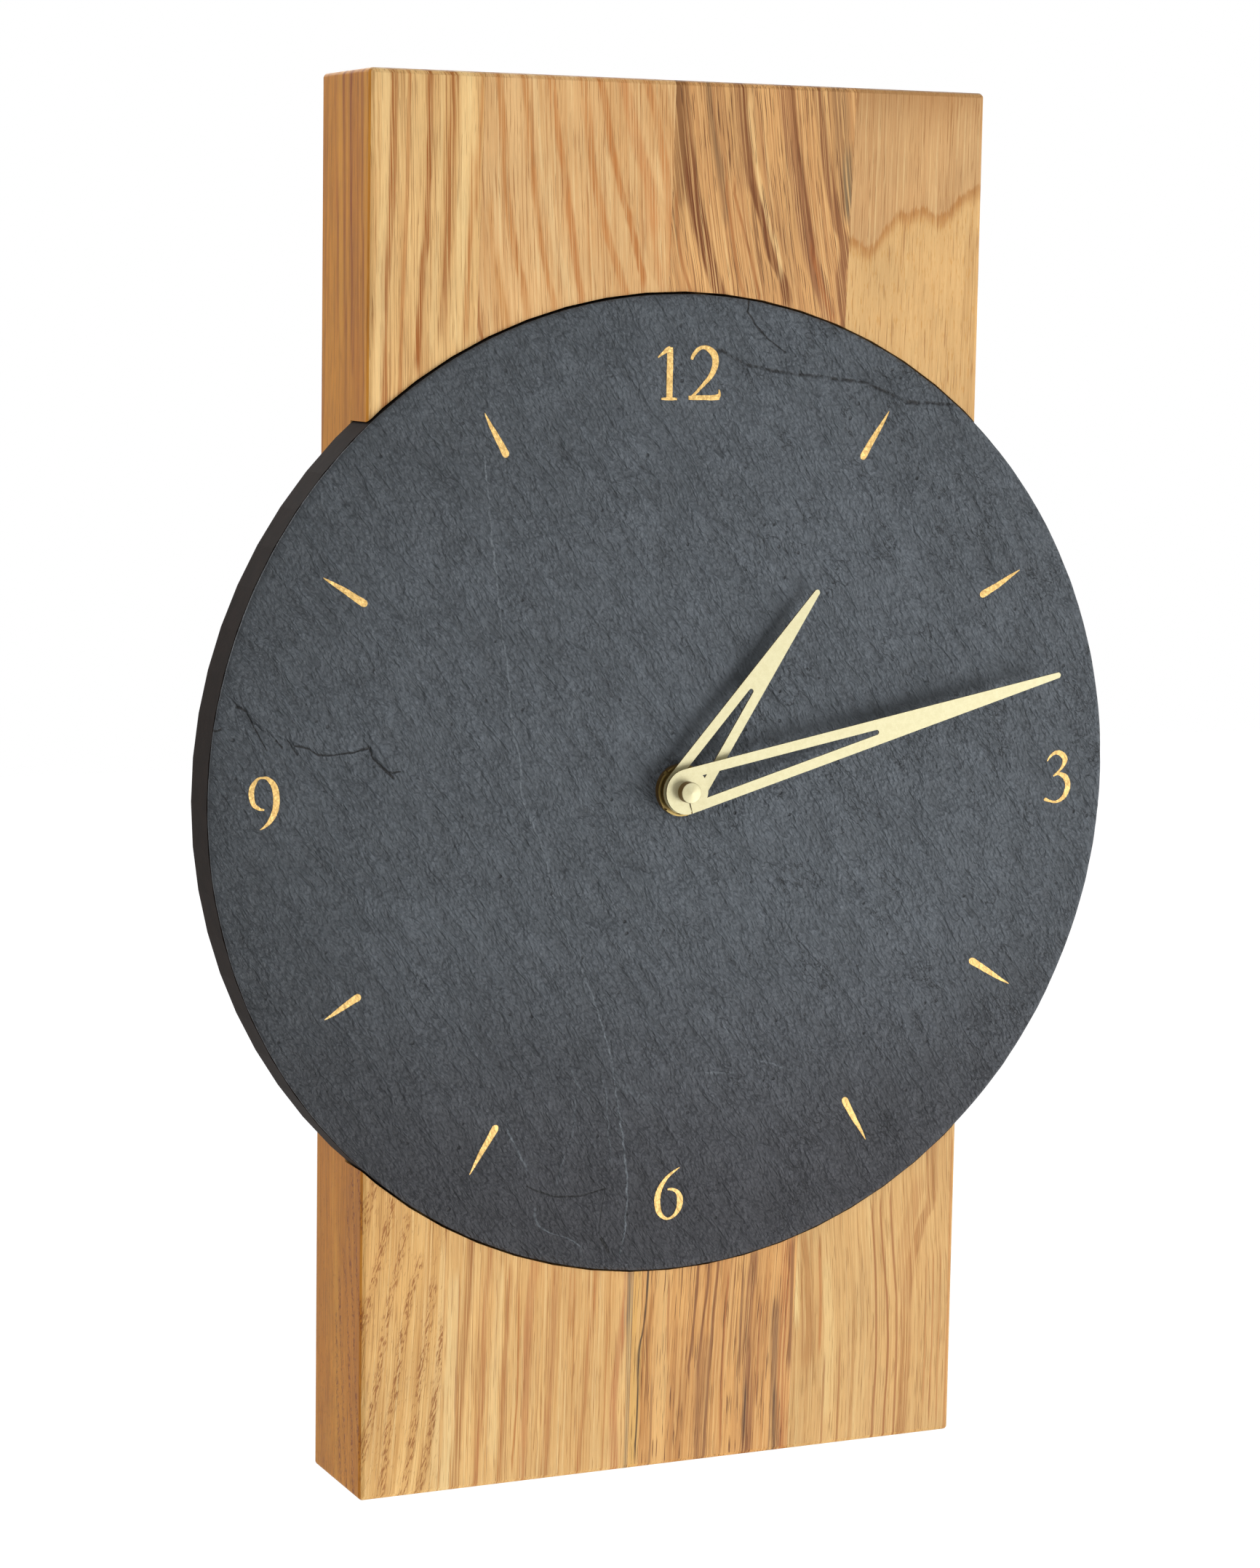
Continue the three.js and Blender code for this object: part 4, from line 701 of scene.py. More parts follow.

# the lines are given one by one, each as a list of places along and across it
VEINS = [
    # (z, x) places, half width, softness, strength
    ([(-142, -17), (-138, -15.9), (-130, -15.2), (-115, -15.8), (-104, -17.4), (-95, -19), (-85, -20.6),
      (-70, -25), (-55, -31), (-45, -36), (-28, -41.8), (-15, -45.5), (-5, -50), (0, -51.8), (10, -52.7),
      (20, -55), (40, -57.3), (50, -59), (100, -65)], 0.06, 0.45, 1.0),
    ([(-112, -20.9), (-102, -22.1), (-93.2, -22.7), (-87.7, -24.1)], 0.05, 0.4, 0.7),
    ([(-93, -28.6), (-90.5, -31.4), (-85, -34)], 0.1, 0.45, 0.7),
    ([(-118.6, -38.6), (-113, -36.8), (-103, -33.6), (-96, -33)], 0.05, 0.5, 0.45),
    ([(-113, -49), (-107.7, -52.3), (-100.5, -55.5)], 0.15, 0.5, 0.8),
    ([(-140, -30.5), (-137, -35), (-134, -42.3), (-129.5, -45.9)], 0.15, 0.5, 0.9),
    ([(50, -100), (35, -98.5), (20, -97)], 0.05, 0.5, 0.4),
    ([(45, -93), (30, -89), (20, -85)], 0.05, 0.5, 0.4),
]
# painted highlights: short bright lines along ridges of the grain, raised a little as well
GLINT_LINES = [
    # (x, z) places, half width, softness, strength
    ([(12.7, -88.6), (18.6, -89.5)], 0.1, 0.4, 0.7),
    ([(26.4, -85), (33.2, -87.3), (40, -90)], 0.1, 0.4, 0.7),
    ([(9.1, -68.2), (13.6, -71.8), (18.6, -76.8)], 0.5, 1.6, 0.35),
    ([(-18.2, -90.5), (-7.3, -96.4)], 0.5, 1.6, 0.35),
]
CLEFT = [(-143.5, 31.5), (-141.6, 29.5), (-138.7, 28.1), (-136.6, 24.1), (-131.6, 20.6), (-128, 19.5),
         (-123.7, 17.6), (-119.4, 16.6), (-116.6, 14.5), (-113.7, 14.5), (-109.4, 14.7), (-105.9, 14.9),
         (-103.7, 15.4), (-100.5, 16.2), (-99.7, 13.4), (-97.3, 10.9), (-95.1, 8.8), (-93, 6.9)]
STEP = [(12, 133), (20, 129), (30, 127), (45, 125.5), (60, 124), (68, 121), (75, 118), (85, 117.5),
        (97, 117)]
# painted shadow: dark gaps under the cleft's edge, as (x, z), and half widths
GAPS = [
    ([(-141.6, 29.5), (-138.7, 28.1), (-136.6, 24.1), (-134.4, 20.2), (-132.3, 16.6)], 0.16),
    ([(-129.4, 19.3), (-127.6, 17)], 0.1),
    ([(-125.9, 19.2), (-123, 14.9)], 0.1),
    ([(-123.7, 17.6), (-119.4, 16.6), (-116.6, 14.5), (-113.7, 14.5), (-109.4, 14.7), (-105.9, 14.9),
      (-103.7, 15.4), (-100.5, 16.2)], 0.08),
    ([(-101, 16.6), (-99.7, 13.4), (-97.3, 10.9), (-95.1, 8.8), (-93, 6.9)], 0.26),
    ([(-95.6, 8.9), (-93.5, 8.4), (-90.9, 8.8)], 0.04),
    ([(-148.5, 22.5), (-146.2, 22.9)], 0.12),
]
ARC = [(-48.6, -119.5), (-43.2, -122.3), (-38.6, -123.6), (-31.4, -124), (-26.8, -123.4), (-22.7, -122.5)]
CHIP = [(133, 33), (137, 27), (141, 23), (145, 20.3), (150, 21)]
ARC_END = [(-136, -24.5), (-130, -23.8), (-122.5, -22.7)]
GOUGE = [(-142.7, -20.9), (-140.6, -22), (-138.2, -23.6)]


def riven(g):
    """The relief of split slate: its height in mm, and the noises that the tones follow too."""
    x, z = g.x, g.z
    sway_x = g.sub(g.patch(0.05, 3.0, 3.0), 0.5)
    sway_z = g.sub(g.patch(0.05, 9.0, 3.0), 0.5)
    px = g.madd(sway_x, 4.0, x)
    pz = g.madd(sway_z, 4.0, z)
    along = g.madd(px, GRAIN_X, g.mul(pz, -GRAIN_Z))
    across = g.madd(px, GRAIN_Z, g.mul(pz, GRAIN_X))

    grain = g.noise(g.mul(across, 1.1), 1.0, g.mul(along, 0.3), 3.0, 0.62)
    fine = g.noise(g.mul(across, 3.0), 2.0, g.mul(along, 1.8), 2.0, 0.6)
    pebble = g.cells(g.madd(fine, 0.5, g.mul(across, 1.15)), 2.0, g.mul(along, 0.62))
    ridge = g.noise(g.mul(across, 0.3), 4.0, g.mul(along, 0.06), 3.0, 0.55)
    swell = g.noise(g.mul(across, 0.07), 5.0, g.mul(along, 0.03), 3.0)
    # thin flakes lie on one another, each with a sharp edge
    flakes = g.madd(ridge, 4.0, g.mul(swell, 7.0))
    whole = g.math("FLOOR", flakes)
    steps = g.add(whole, g.ramp(g.sub(flakes, whole), 0.88, 1.0))
    patchy = g.patch(0.06, 8.0, 3.0)
    pit = g.ramp(g.cells(g.mul(px, 0.15), 4.0, g.mul(pz, 0.15)), 0.11, 0.04)
    pit = g.mul(pit, g.ramp(patchy, 0.42, 0.5))
    height = g.mul(grain, 1.05)
    amounts = ((fine, 0.27), (pebble, -0.45), (ridge, 2.4), (swell, 3.0), (steps, 0.1), (pit, -0.35))
    for part, amount in amounts:
        height = g.madd(part, amount, height)
    return {"height": height, "px": px, "pz": pz, "along": along, "across": across, "grain": grain,
            "pebble": pebble, "ridge": ridge, "patchy": patchy, "pit": pit}


def gold_leaf():
    """Worn gold leaf over the slate's relief."""
    g = Graph("gold_leaf", roughness=0.5, specular=0.35)
    relief = riven(g)
    worn = g.patch(1.6, 1.0, 4.0, 0.7)
    leaf = g.mix(g.ramp(worn, 0.32, 0.62), LEAF_DARK, LEAF_LIGHT)
    line = g.noise(g.mul(relief["px"], 0.9), 11.0, g.mul(relief["pz"], 0.9), 5.0, 0.7)
    split = g.ramp(g.off(line), 0.008, 0.0)
    speck = g.ramp(g.patch(4.5, 13.0, 2.0, 0.6), 0.66, 0.72)
    bare = g.most(g.mul(split, 0.5), g.mul(speck, 0.7))
    g.colour(g.mix(bare, leaf, WORN_LEAF))
    g.metal(g.mul(g.sub(1.0, bare), 0.4))
    g.rough(g.madd(worn, 0.2, 0.34))
    g.bump(relief["height"], 0.45)
    return g.material


def slate_cracks(g, rag, jag, broken):
    """Dark gaps, steps and scratches, from 0 to 1: the slate sinks them and paints them near black as their
    shade.
    """
    x, z = g.x, g.z
    crack = 0.0
    for points, half in GAPS:
        gap = g.near(x, jag, points, half, 0.35, 0.5, smooth=False, ragged=g.mul(rag, 0.7))
        crack = g.most(crack, gap)
    frayed_x, frayed_z = g.madd(rag, 1.2, x), g.madd(rag, 1.2, z)
    step = g.mul(g.near(x, jag, STEP, 0.1, 0.8, 6.0, smooth=False), broken)
    arc = g.mul(g.near(x, frayed_z, ARC, 0.06, 0.4, 1.0), 0.9)
    chip = g.near(z, g.madd(rag, 2.0, x), CHIP, 0.12, 0.5, 1.0, smooth=False)
    arc_end = g.mul(g.near(z, frayed_x, ARC_END, 0.04, 0.3, 1.0), 0.55)
    gouge = g.near(z, frayed_x, GOUGE, 0.4, 0.4, 0.6)
    return g.most(crack, step, arc, chip, arc_end, gouge)


def slate():
    """The riven face of the dial, with its veins and cracks."""
    g = Graph("slate", roughness=0.5, specular=0.35)
    x, z = g.x, g.z
    relief = riven(g)
    height = relief["height"]
    rag = g.sub(g.patch(0.22, 0.0, 4.0, 0.65), 0.5)
    broken = g.ramp(g.patch(0.35, 0.0, 3.0, 0.6), 0.36, 0.6, 0.15, 1.0)
    veins_and_glints = 0.0
    for lines, first, second in ((VEINS, z, g.madd(rag, 2.4, x)), (GLINT_LINES, x, g.madd(rag, 2.4, z))):
        for points, half, soft, strength in lines:
            veins_and_glints = g.most(veins_and_glints, g.mul(strength, g.near(first, second, points, half, soft, 4.0)))
    veins_and_glints = g.mul(veins_and_glints, broken)
    height = g.madd(veins_and_glints, 0.15, height)

    jag = g.madd(rag, 1.6, z)
    crack = slate_cracks(g, rag, jag, broken)
    height = g.madd(crack, -0.22, height)
    # the plate above the cleft: its rounded edge faces down and catches the light
    over = g.sub(jag, g.curve(x, CLEFT, False))
    plate = g.mul(g.ramp(over, -0.1, 1.3), g.ramp(over, 24, 3), g.ramp(x, -146, -142), g.ramp(x, -89, -93))
    height = g.madd(plate, 0.75, height)
    # short hair cracks, most of them on the right
    wavy = g.noise(g.mul(relief["across"], 0.16), 6.0, g.mul(relief["along"], 0.07), 4.0, 0.6)
    hair = g.mul(g.ramp(g.off(wavy), 0.012, 0.0), g.ramp(x, -60, 60, 0.35, 1.0),
                 g.ramp(relief["patchy"], 0.5, 0.6))
    height = g.madd(hair, -0.22, height)

    cloud = g.patch(0.018, 6.0, 3.0, 0.55)
    # the slate's tone, darker towards the bottom: partly its own colour and partly painted shade
    tone = g.mix(g.ramp(z, -20, -140), SLATE_LIGHT, SLATE_DARK)
    # painted shade and sheen: darker to the left, towards the edge and most of all at the lower left, and
    # lighter to the right
    radius = g.math("SQRT", g.madd(x, x, g.mul(z, z)))
    lower_left_shade = g.ramp(g.madd(z, 0.5, x), -100, -160, 1.0, 0.85)
    shade = g.mul(g.ramp(x, -130, 60, 0.84, 1.09), g.ramp(radius, 100, 148, 1.0, 0.86), lower_left_shade)
    tone = g.tint(tone, shade)
    tone = g.tint(tone, g.madd(cloud, 0.5, 0.75))
    # painted shade in the relief's hollows and painted highlights on its ridges
    tone = g.tint(tone, g.madd(relief["grain"], 1.05, 0.48))
    tone = g.tint(tone, g.madd(relief["ridge"], 1.1, 0.45))
    tone = g.tint(tone, g.madd(relief["pebble"], -0.16, 1.06))
    # light veins, and painted highlights on the glint lines
    tone = g.mix(g.mul(veins_and_glints, 0.75), tone, VEIN_AND_GLINT_TONE)
    # painted shade: the cracks, hair cracks and pits are drawn near black
    dark = g.most(crack, g.mul(hair, 0.6), g.mul(relief["pit"], 0.6))
    g.colour(g.mix(g.mul(dark, 0.95), tone, CRACK_SHADE_TONE))
    g.rough(g.madd(relief["grain"], 0.3, 0.36))
    g.bump(height, 1.35)
    return g.material


def plain(name, light, dark, roughness, metallic=0.0, scale=1.0, bump=0.02, stretch=(1, 1, 1), specular=0.5,
          spots=None, edge=None):
    """Two close tones in a noise of the given scale per mm, with a fine bump and perhaps spots.
    The edge tone is painted shade on walls that don't face the front or the back."""
    g = Graph(name, roughness, metallic, specular)

    def speckle(finer, *shape):
        places = (g.mul(place, scale * share * finer) for place, share in zip((g.x, g.y, g.z), stretch))
        return g.noise(*places, *shape)

    first = speckle(1, 3.0, 0.6)
    share = g.add(g.mul(first, 0.6), g.mul(speckle(0.13, 2.0), 0.4))
    colour = g.mix(g.ramp(share, 0.38, 0.62), dark, light)
    if spots:
        colour = g.mix(g.ramp(speckle(3, 2.0), 0.62, 0.72), colour, spots)
    # painted shade: the edge tone on the side walls
    if edge:
        colour = g.mix(g.ramp(g.math("ABSOLUTE", g.split("Normal")[1]), 0.75, 0.3), colour, edge)
    g.colour(colour)
    g.rough(g.madd(first, 0.16, roughness - 0.08))
    g.bump(g.mul(first, bump))
    return g.material


def battery_sleeve():
    """A plain sleeve: dark body with a gold band at the positive end, and bare metal at both ends."""
    band, bare_start, bare_end, edge = 13.2, 0.9, 1.9, 0.2
    g = Graph("battery_sleeve", roughness=0.32)
    low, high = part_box("battery")
    start, end = low.x / MM - HUB_X, high.x / MM - HUB_X
    speck = g.noise(g.mul(g.x, 2.0), g.mul(g.y, 2.0), g.mul(g.z, 2.0), 2.0)
    colour = g.mix(g.ramp(speck, 0.35, 0.65), (38, 44, 56), (46, 53, 66))
    colour = g.mix(g.ramp(g.x, end - band, end - band + edge), colour, (196, 150, 84))
    ends = g.most(g.ramp(g.x, start + bare_start, start + bare_start - edge),
                  g.ramp(g.x, end - bare_end, end - bare_end + edge))
    g.colour(g.mix(ends, colour, (186, 188, 192)))
    g.metal(ends)
    g.bump(g.mul(speck, 0.006))
    return g.material


# Shapes

rng = np.random.default_rng(41)
LATTICE = rng.random((12, 256, 256)) * 2 - 1
CELLS = LATTICE.shape[1]

# the slate's relief, in mm: mean depth, what the drops add to it and what the raised plate takes off
MEAN_DEPTH = 0.34
CLEFT_DROP = 0.42
PLATE_RISE = 0.14
STEP_DROP = 0.22
CHIP_DROP = 0.45
LOW_CHIP_DROP = 0.35
EDGE_DROP = 0.5
DEPTH_RANGE = (0.02, 1.7)
# the chip at the top lies above CHIP_LOW and left of CHIP_RIGHT, and the one at the bottom round LOW_CHIP
CHIP_LOW, CHIP_RIGHT = 133.5, 39
LOW_CHIP = (-22, -142)
# height, width and length of the slate's waves, share of the sway that they follow, and layer of noise
SLATE_WAVES = [(0.15, 34, 60, 0, 1), (0.06, 9, 22, 1, 2), (0.035, 3.2, 8, 1, 3)]
# direction of the waves, down to the right
WAVE_X, WAVE_Z = 0.574, 0.819
# width of the bitten edge, in mm: its mean, and how far it changes in long and in short bites
BITE_WIDTH = (2.2, 1.6, 0.8)
# how far the slate's edge lies inside the disc's, in mm, and the depth of its coarse and fine nibbles
EDGE_INSET = 0.14
COARSE_NIBBLE = 0.09
FINE_NIBBLE = 0.05
SLATE_AROUND = 600
SLATE_RINGS = 162


def smooth_step(share):
    return share * share * (3 - 2 * share)


def wave(x, y, layer):
    """Smooth noise from -1 to 1."""
    grid = LATTICE[layer]
    xi, yi = np.floor(x).astype(int), np.floor(y).astype(int)
    fx, fy = smooth_step(x - xi), smooth_step(y - yi)
    a, b = grid[xi % CELLS, yi % CELLS], grid[(xi + 1) % CELLS, yi % CELLS]
    c, d = grid[xi % CELLS, (yi + 1) % CELLS], grid[(xi + 1) % CELLS, (yi + 1) % CELLS]
    return (a * (1 - fx) + b * fx) * (1 - fy) + (c * (1 - fx) + d * fx) * fy


def ease(value, start, end):
    """Goes smoothly from 0 at start to 1 at end."""
    return smooth_step(np.clip((value - start) / (end - start), 0, 1))


def slate_depth(x, z):
    """How far the riven face lies behind the front of the slate, in mm."""
    x, z = np.asarray(x, float), np.asarray(z, float)
    along, across = x * WAVE_X - z * WAVE_Z, x * WAVE_Z + z * WAVE_X
    sway = 3 * wave(x / 16, z / 16, 0)
    depth = MEAN_DEPTH
    for height, width, length, swayed, layer in SLATE_WAVES:
        depth = depth + height * wave((across + swayed * sway) / width, along / length, layer)
    rag = 0.7 * wave(x / 4, z / 4, 4) + 0.4 * wave(x / 1.3, z / 1.3, 5)
    # the face drops below the cleft, and the plate above it is raised
    cleft_x, cleft_z = zip(*CLEFT)
    below = np.interp(x, cleft_x, cleft_z) + rag - z
    dropped = ease(x, -97, -101) * (below > 0)
    depth += CLEFT_DROP * dropped * ease(below, 0, 0.9) * np.exp(-np.clip(below, 0, None) / 14)
    plate = ease(x, -92, -100) * (below <= 0) * ease(z, 70, 40)
    depth -= PLATE_RISE * plate
    step_x, step_z = zip(*STEP)
    above = z - np.interp(x, step_x, step_z) + rag
    depth += STEP_DROP * ease(x, 6, 16) * ease(above, 0, 1.0) * ease(x, 101, 95)
    chip_x = np.interp(z, [p[0] for p in CHIP], [p[1] for p in CHIP])
    inside = (x - chip_x) * (z > CHIP_LOW) * (x < CHIP_RIGHT)
    depth += CHIP_DROP * ease(inside, 0, 0.9) * ease(x, CHIP_RIGHT, 33)
    from_chip = np.hypot((x - LOW_CHIP[0]) / 5, (z - LOW_CHIP[1]) / 4)
    depth += LOW_CHIP_DROP * ease(from_chip, 1.2, 0.6)
    # the edge is bitten off by a width that changes round the dial
    r, angle = np.hypot(x, z), np.arctan2(z, x)
    mean, long, short = BITE_WIDTH
    bite = mean + long * wave(angle * 9 + 40, r * 0 + 3.5, 6)
    bite = bite + short * wave(angle * 31 + 90, r * 0 + 1.5, 7)
    depth += EDGE_DROP * ease(r, DISC_RADIUS - bite, DISC_RADIUS)
    return np.clip(depth, *DEPTH_RANGE)


def slate_face(x, z):
    """Where the riven face lies, as y in mm."""
    return SLATE_FRONT + slate_depth(x, z)


def slate_edge(angle):
    """Radius of the slate's edge, nibbled inwards from the edge of the disc behind it."""
    coarse, fine = wave(angle * 24 + 60, angle * 0 + 2.5, 8), wave(angle * 90 + 300, angle * 0 + 5.5, 9)
    return DISC_RADIUS - EDGE_INSET - COARSE_NIBBLE * (1 + coarse) - FINE_NIBBLE * (1 + fine)


def place(points):
    """Points in mm from the hub, as an array of metres in the frame."""
    return (np.array(points, float) + np.array([HUB_X, 0, HUB_Z])) * MM


def new_piece(name, points, faces, material, body, smooth=True, replaces=()):
    mesh = bpy.data.meshes.new(name)
    mesh.from_pydata(place(points).tolist(), [], faces)
    mesh.materials.append(material)
    mesh.validate()
    if smooth:
        mesh.shade_smooth()
    piece = bpy.data.objects.new(name, mesh)
    bpy.context.scene.collection.objects.link(piece)
    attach(piece, body)
    if replaces:
        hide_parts(*replaces)


def build_slate(material):
    """Rings from the bore out over the face, down the edge and back to the bore, closed into a solid."""
    angles = np.linspace(0, 2 * math.pi, SLATE_AROUND, endpoint=False)
    edge = slate_edge(angles)
    rows = []

    def circle(radius):
        return radius * np.cos(angles), radius * np.sin(angles)

    for share in np.linspace(0, 1, SLATE_RINGS):
        x, z = circle(SLATE_BORE + (edge - SLATE_BORE) * share ** 0.93)
        rows.append(np.stack([x, slate_face(x, z), z], 1))
    lip = rows[-1][:, 1]
    for share, out in ((0.35, 0.10), (0.7, 0.05), (1.0, 0.0)):
        rough = 0.1 * share * (1 + wave(angles * 40, angles * 0 + share * 3, 10)) * 0.5
        x, z = circle(edge + out - rough)
        rows.append(np.stack([x, lip + (SLATE_BACK - lip) * share, z], 1))
    x, z = circle(SLATE_BORE)
    rows.append(np.stack([x, np.full(SLATE_AROUND, SLATE_BACK), z], 1))

    faces, rings = [], len(rows)
    for i in range(rings):
        a, b = i * SLATE_AROUND, (i + 1) % rings * SLATE_AROUND
        for j in range(SLATE_AROUND):
            k = (j + 1) % SLATE_AROUND
            faces.append((a + j, b + j, b + k, a + k))
    new_piece("slate_face", np.concatenate(rows), faces, material, "clock_body",
              replaces=("dial_slate",))


# Numerals and hour marks: strips of leaf on the slate

# in mm: step along a stroke, its least half width, and how far the leaf stands proud and reaches in
STROKE_STEP = 0.35
THINNEST = 0.06
LEAF = 0.05
LEAF_ROOT = 0.05


def smooth_line(marks):
    """Points (x, z, half width) along a smooth line through the marks."""
    marks = np.array(marks, float)
    padded = np.vstack([2 * marks[0] - marks[1], marks, 2 * marks[-1] - marks[-2]])
    out = []
    for i in range(1, len(padded) - 2):
        p0, p1, p2, p3 = padded[i - 1:i + 3]
        count = max(2, int(np.hypot(*(p2 - p1)[:2]) / STROKE_STEP))
        for t in np.arange(count) / count:
            out.append(0.5 * (2 * p1 + (p2 - p0) * t + (2 * p0 - 5 * p1 + 4 * p2 - p3) * t * t
                              + (3 * p1 - p0 - 3 * p2 + p3) * t ** 3))
    out.append(marks[-1])
    out = np.array(out)
    out[:, 2] = np.clip(out[:, 2], THINNEST, None)
    return out


def leaf_section(left, right, lift):
    """One cross-section of a strip of leaf: five points above the slate and two just inside it."""
    top = [left + (right - left) * share for share in (0, 0.25, 0.5, 0.75, 1)]
    loop = [np.array([x, slate_face(x, z) - lift, z]) for x, z in top]
    return loop + [np.array([x, slate_face(x, z) + LEAF_ROOT, z]) for x, z in (right, left)]


def strip(sections, points, faces):
    """A closed strip through cross-sections of equal size."""
    around = len(sections[0])
    first = len(points)
    for loop in sections:
        points.extend(loop)
    for i in range(len(sections) - 1):
        a, b = first + i * around, first + (i + 1) * around
        for j in range(around):
            k = (j + 1) % around
            faces.append((a + j, a + k, b + k, b + j))
    faces.append(tuple(first + j for j in range(around))[::-1])
    last = first + (len(sections) - 1) * around
    faces.append(tuple(last + j for j in range(around)))


def stroke(marks, points, faces, lift=LEAF):
    """One stroke of leaf along a smooth line through the marks, with slightly ragged edges."""
    line = smooth_line(marks)
    ahead = np.gradient(line[:, :2], axis=0)
    ahead /= np.linalg.norm(ahead, axis=1)[:, None]
    aside = np.stack([-ahead[:, 1], ahead[:, 0]], 1)
    sections = []
    for (x, z, half), side in zip(line, aside):
        rag = 0.05 * float(wave(np.array(x * 2.1), np.array(z * 2.1), 11))
        centre = np.array([x, z])
        sections.append(leaf_section(centre + side * (half + rag), centre - side * (half - rag), lift))
    strip(sections, points, faces)


# (x, z, half width) along each stroke: 9, the two bows of 3, 6, the three strokes of 2 and of 1
NUMERALS = [
    [(-133.0, -0.95, 0.25), (-134.5, -0.6, 0.45), (-136.3, 0.9, 0.7), (-136.95, 3.9, 0.85),
     (-136.4, 6.3, 0.75), (-135.0, 8.1, 0.4), (-133.5, 8.5, 0.3), (-131.8, 8.1, 0.55), (-130.0, 6.0, 0.9),
     (-129.3, 3.0, 0.98), (-129.5, -0.8, 0.95), (-130.9, -3.9, 0.75), (-132.6, -5.7, 0.4),
     (-134.2, -6.7, 0.1)],
    [(129.8, 4.1, 0.2), (130.8, 5.5, 0.35), (132.5, 6.6, 0.55), (134.3, 6.6, 0.8), (135.9, 5.4, 0.95),
     (136.3, 4.2, 0.9), (135.9, 2.8, 0.6), (134.6, 1.1, 0.35), (133.2, 0.0, 0.25), (132.2, -0.8, 0.2)],
    [(132.2, -0.85, 0.15), (133.3, -0.2, 0.35), (134.7, -0.2, 0.6), (136.6, -1.3, 0.95),
     (137.6, -3.4, 0.95), (137.3, -5.6, 0.9), (136.1, -7.7, 0.7), (134.2, -8.9, 0.45), (132.6, -9.1, 0.35),
     (130.8, -8.7, 0.4), (129.5, -8.2, 0.55), (129.1, -8.0, 0.4)],
    [(2.6, -117.9, 0.1), (0.5, -119.1, 0.35), (-1.7, -120.8, 0.5), (-3.5, -123.1, 0.75),
     (-4.6, -125.8, 0.95), (-4.9, -128.3, 1.0), (-4.4, -131, 0.9), (-2.9, -133.1, 0.6),
     (-1.1, -133.8, 0.35), (0.9, -133.0, 0.5), (2.5, -130.8, 0.85), (2.9, -128.2, 1.0), (2.3, -126.1, 0.75),
     (0.9, -124.9, 0.5), (-0.7, -124.5, 0.35), (-1.4, -124.6, 0.25)],
    [(1.7, 130.3, 0.4), (2.2, 131.5, 0.55), (3.6, 133.2, 0.6), (5.4, 134.0, 0.55), (7.4, 133.5, 0.85),
     (9.2, 131.9, 1.1), (9.7, 129.8, 1.05), (9.3, 127.6, 0.95), (8.0, 125.2, 0.75), (5.2, 122.2, 0.5),
     (2.6, 119.7, 0.4), (1.2, 118.6, 0.35)],
    [(0.9, 118.85, 0.6), (3.0, 118.9, 0.72), (6.0, 118.9, 0.72), (9.6, 118.95, 0.8), (11.0, 119.3, 0.9)],
    [(11.0, 118.9, 0.3), (11.25, 119.8, 0.42), (11.2, 120.8, 0.28), (11.0, 121.4, 0.08)],
    [(-5.45, 133.9, 0.85), (-5.45, 131.0, 1.0), (-5.45, 125.0, 1.0), (-5.45, 118.9, 1.0)],
    [(-9.45, 130.85, 0.2), (-7.8, 132.1, 0.45), (-6.3, 133.2, 0.75), (-5.3, 133.7, 0.6)],
    [(-8.1, 118.45, 0.3), (-6.8, 118.5, 0.42), (-5.5, 118.55, 0.5), (-4.2, 118.5, 0.42),
     (-2.95, 118.45, 0.3)],
]


def build_numerals(material):
    """The strokes of the numerals. Where strokes cross, each lies a little higher than the last."""
    points, faces = [], []
    for order, marks in enumerate(NUMERALS):
        stroke(marks, points, faces, LEAF + 0.012 * (order % 4))
    new_piece("numerals", points, faces, material, "clock_body", smooth=False)


# hour: sideways place of the inner end and of the outer end (clockwise), inner radius, outer radius
HOUR_MARKS = {
    1: (2.1, 2.6, 117.0, 134.4),
    2: (2.2, 2.2, 118.3, 134.4),
    4: (-0.95, -0.75, 118.7, 135.8),
    5: (-1.2, -1.35, 116.3, 132.6),
    7: (0.9, 1.2, 115.9, 132.9),
    8: (1.6, 1.5, 117.8, 130.8),
    10: (-0.45, -0.1, 117.1, 133.0),
    11: (0.4, 0.5, 116.5, 131.4),
}
# share of the length from the inner end, half width
WEDGE = [(0, 0.1), (0.01, 0.55), (0.04, 0.95), (0.09, 1.12), (0.25, 1.0), (0.5, 0.83), (0.75, 0.53),
         (0.93, 0.25), (1, 0.08)]


def build_hour_marks(material):
    points, faces = [], []
    for hour, (side_in, side_out, r_in, r_out) in HOUR_MARKS.items():
        turn = math.radians(hour * 30)
        out = np.array([math.sin(turn), math.cos(turn)])
        side = np.array([math.cos(turn), -math.sin(turn)])
        marks = []
        for share, half in WEDGE:
            unsteady = 0.08 * math.sin(hour * 2.3 + share * 7)
            aside = side_in + (side_out - side_in) * share + unsteady
            marks.append((*(out * (r_in + (r_out - r_in) * share) + side * aside), half))
        stroke(marks, points, faces)
    new_piece("hour_marks", points, faces, material, "clock_body", smooth=False)


# The cap on the hands, in mm

CAP_BORE = 1.3
CAP_WALL = 1.6
CAP_CONE = 0.45
CAP_ROUND = 0.22
CAP_CHAMFER = 0.12
CAP_AROUND = 64


def turned(profile, around):
    """Points and faces of a profile turned about the hub: a list of (radius, y), from axis to axis."""
    points = [(0, profile[0][1], 0)]
    for r, y in profile[1:-1]:
        for j in range(around):
            angle = 2 * math.pi * j / around
            points.append((r * math.cos(angle), y, r * math.sin(angle)))
    points.append((0, profile[-1][1], 0))
    faces, rings, last = [], len(profile) - 2, len(points) - 1
    for j in range(around):
        k = (j + 1) % around
        faces.append((0, 1 + j, 1 + k))
        faces.append((last, last - around + k, last - around + j))
        for i in range(rings - 1):
            a = 1 + i * around
            faces.append((a + j, a + around + j, a + around + k, a + k))
    return points, faces


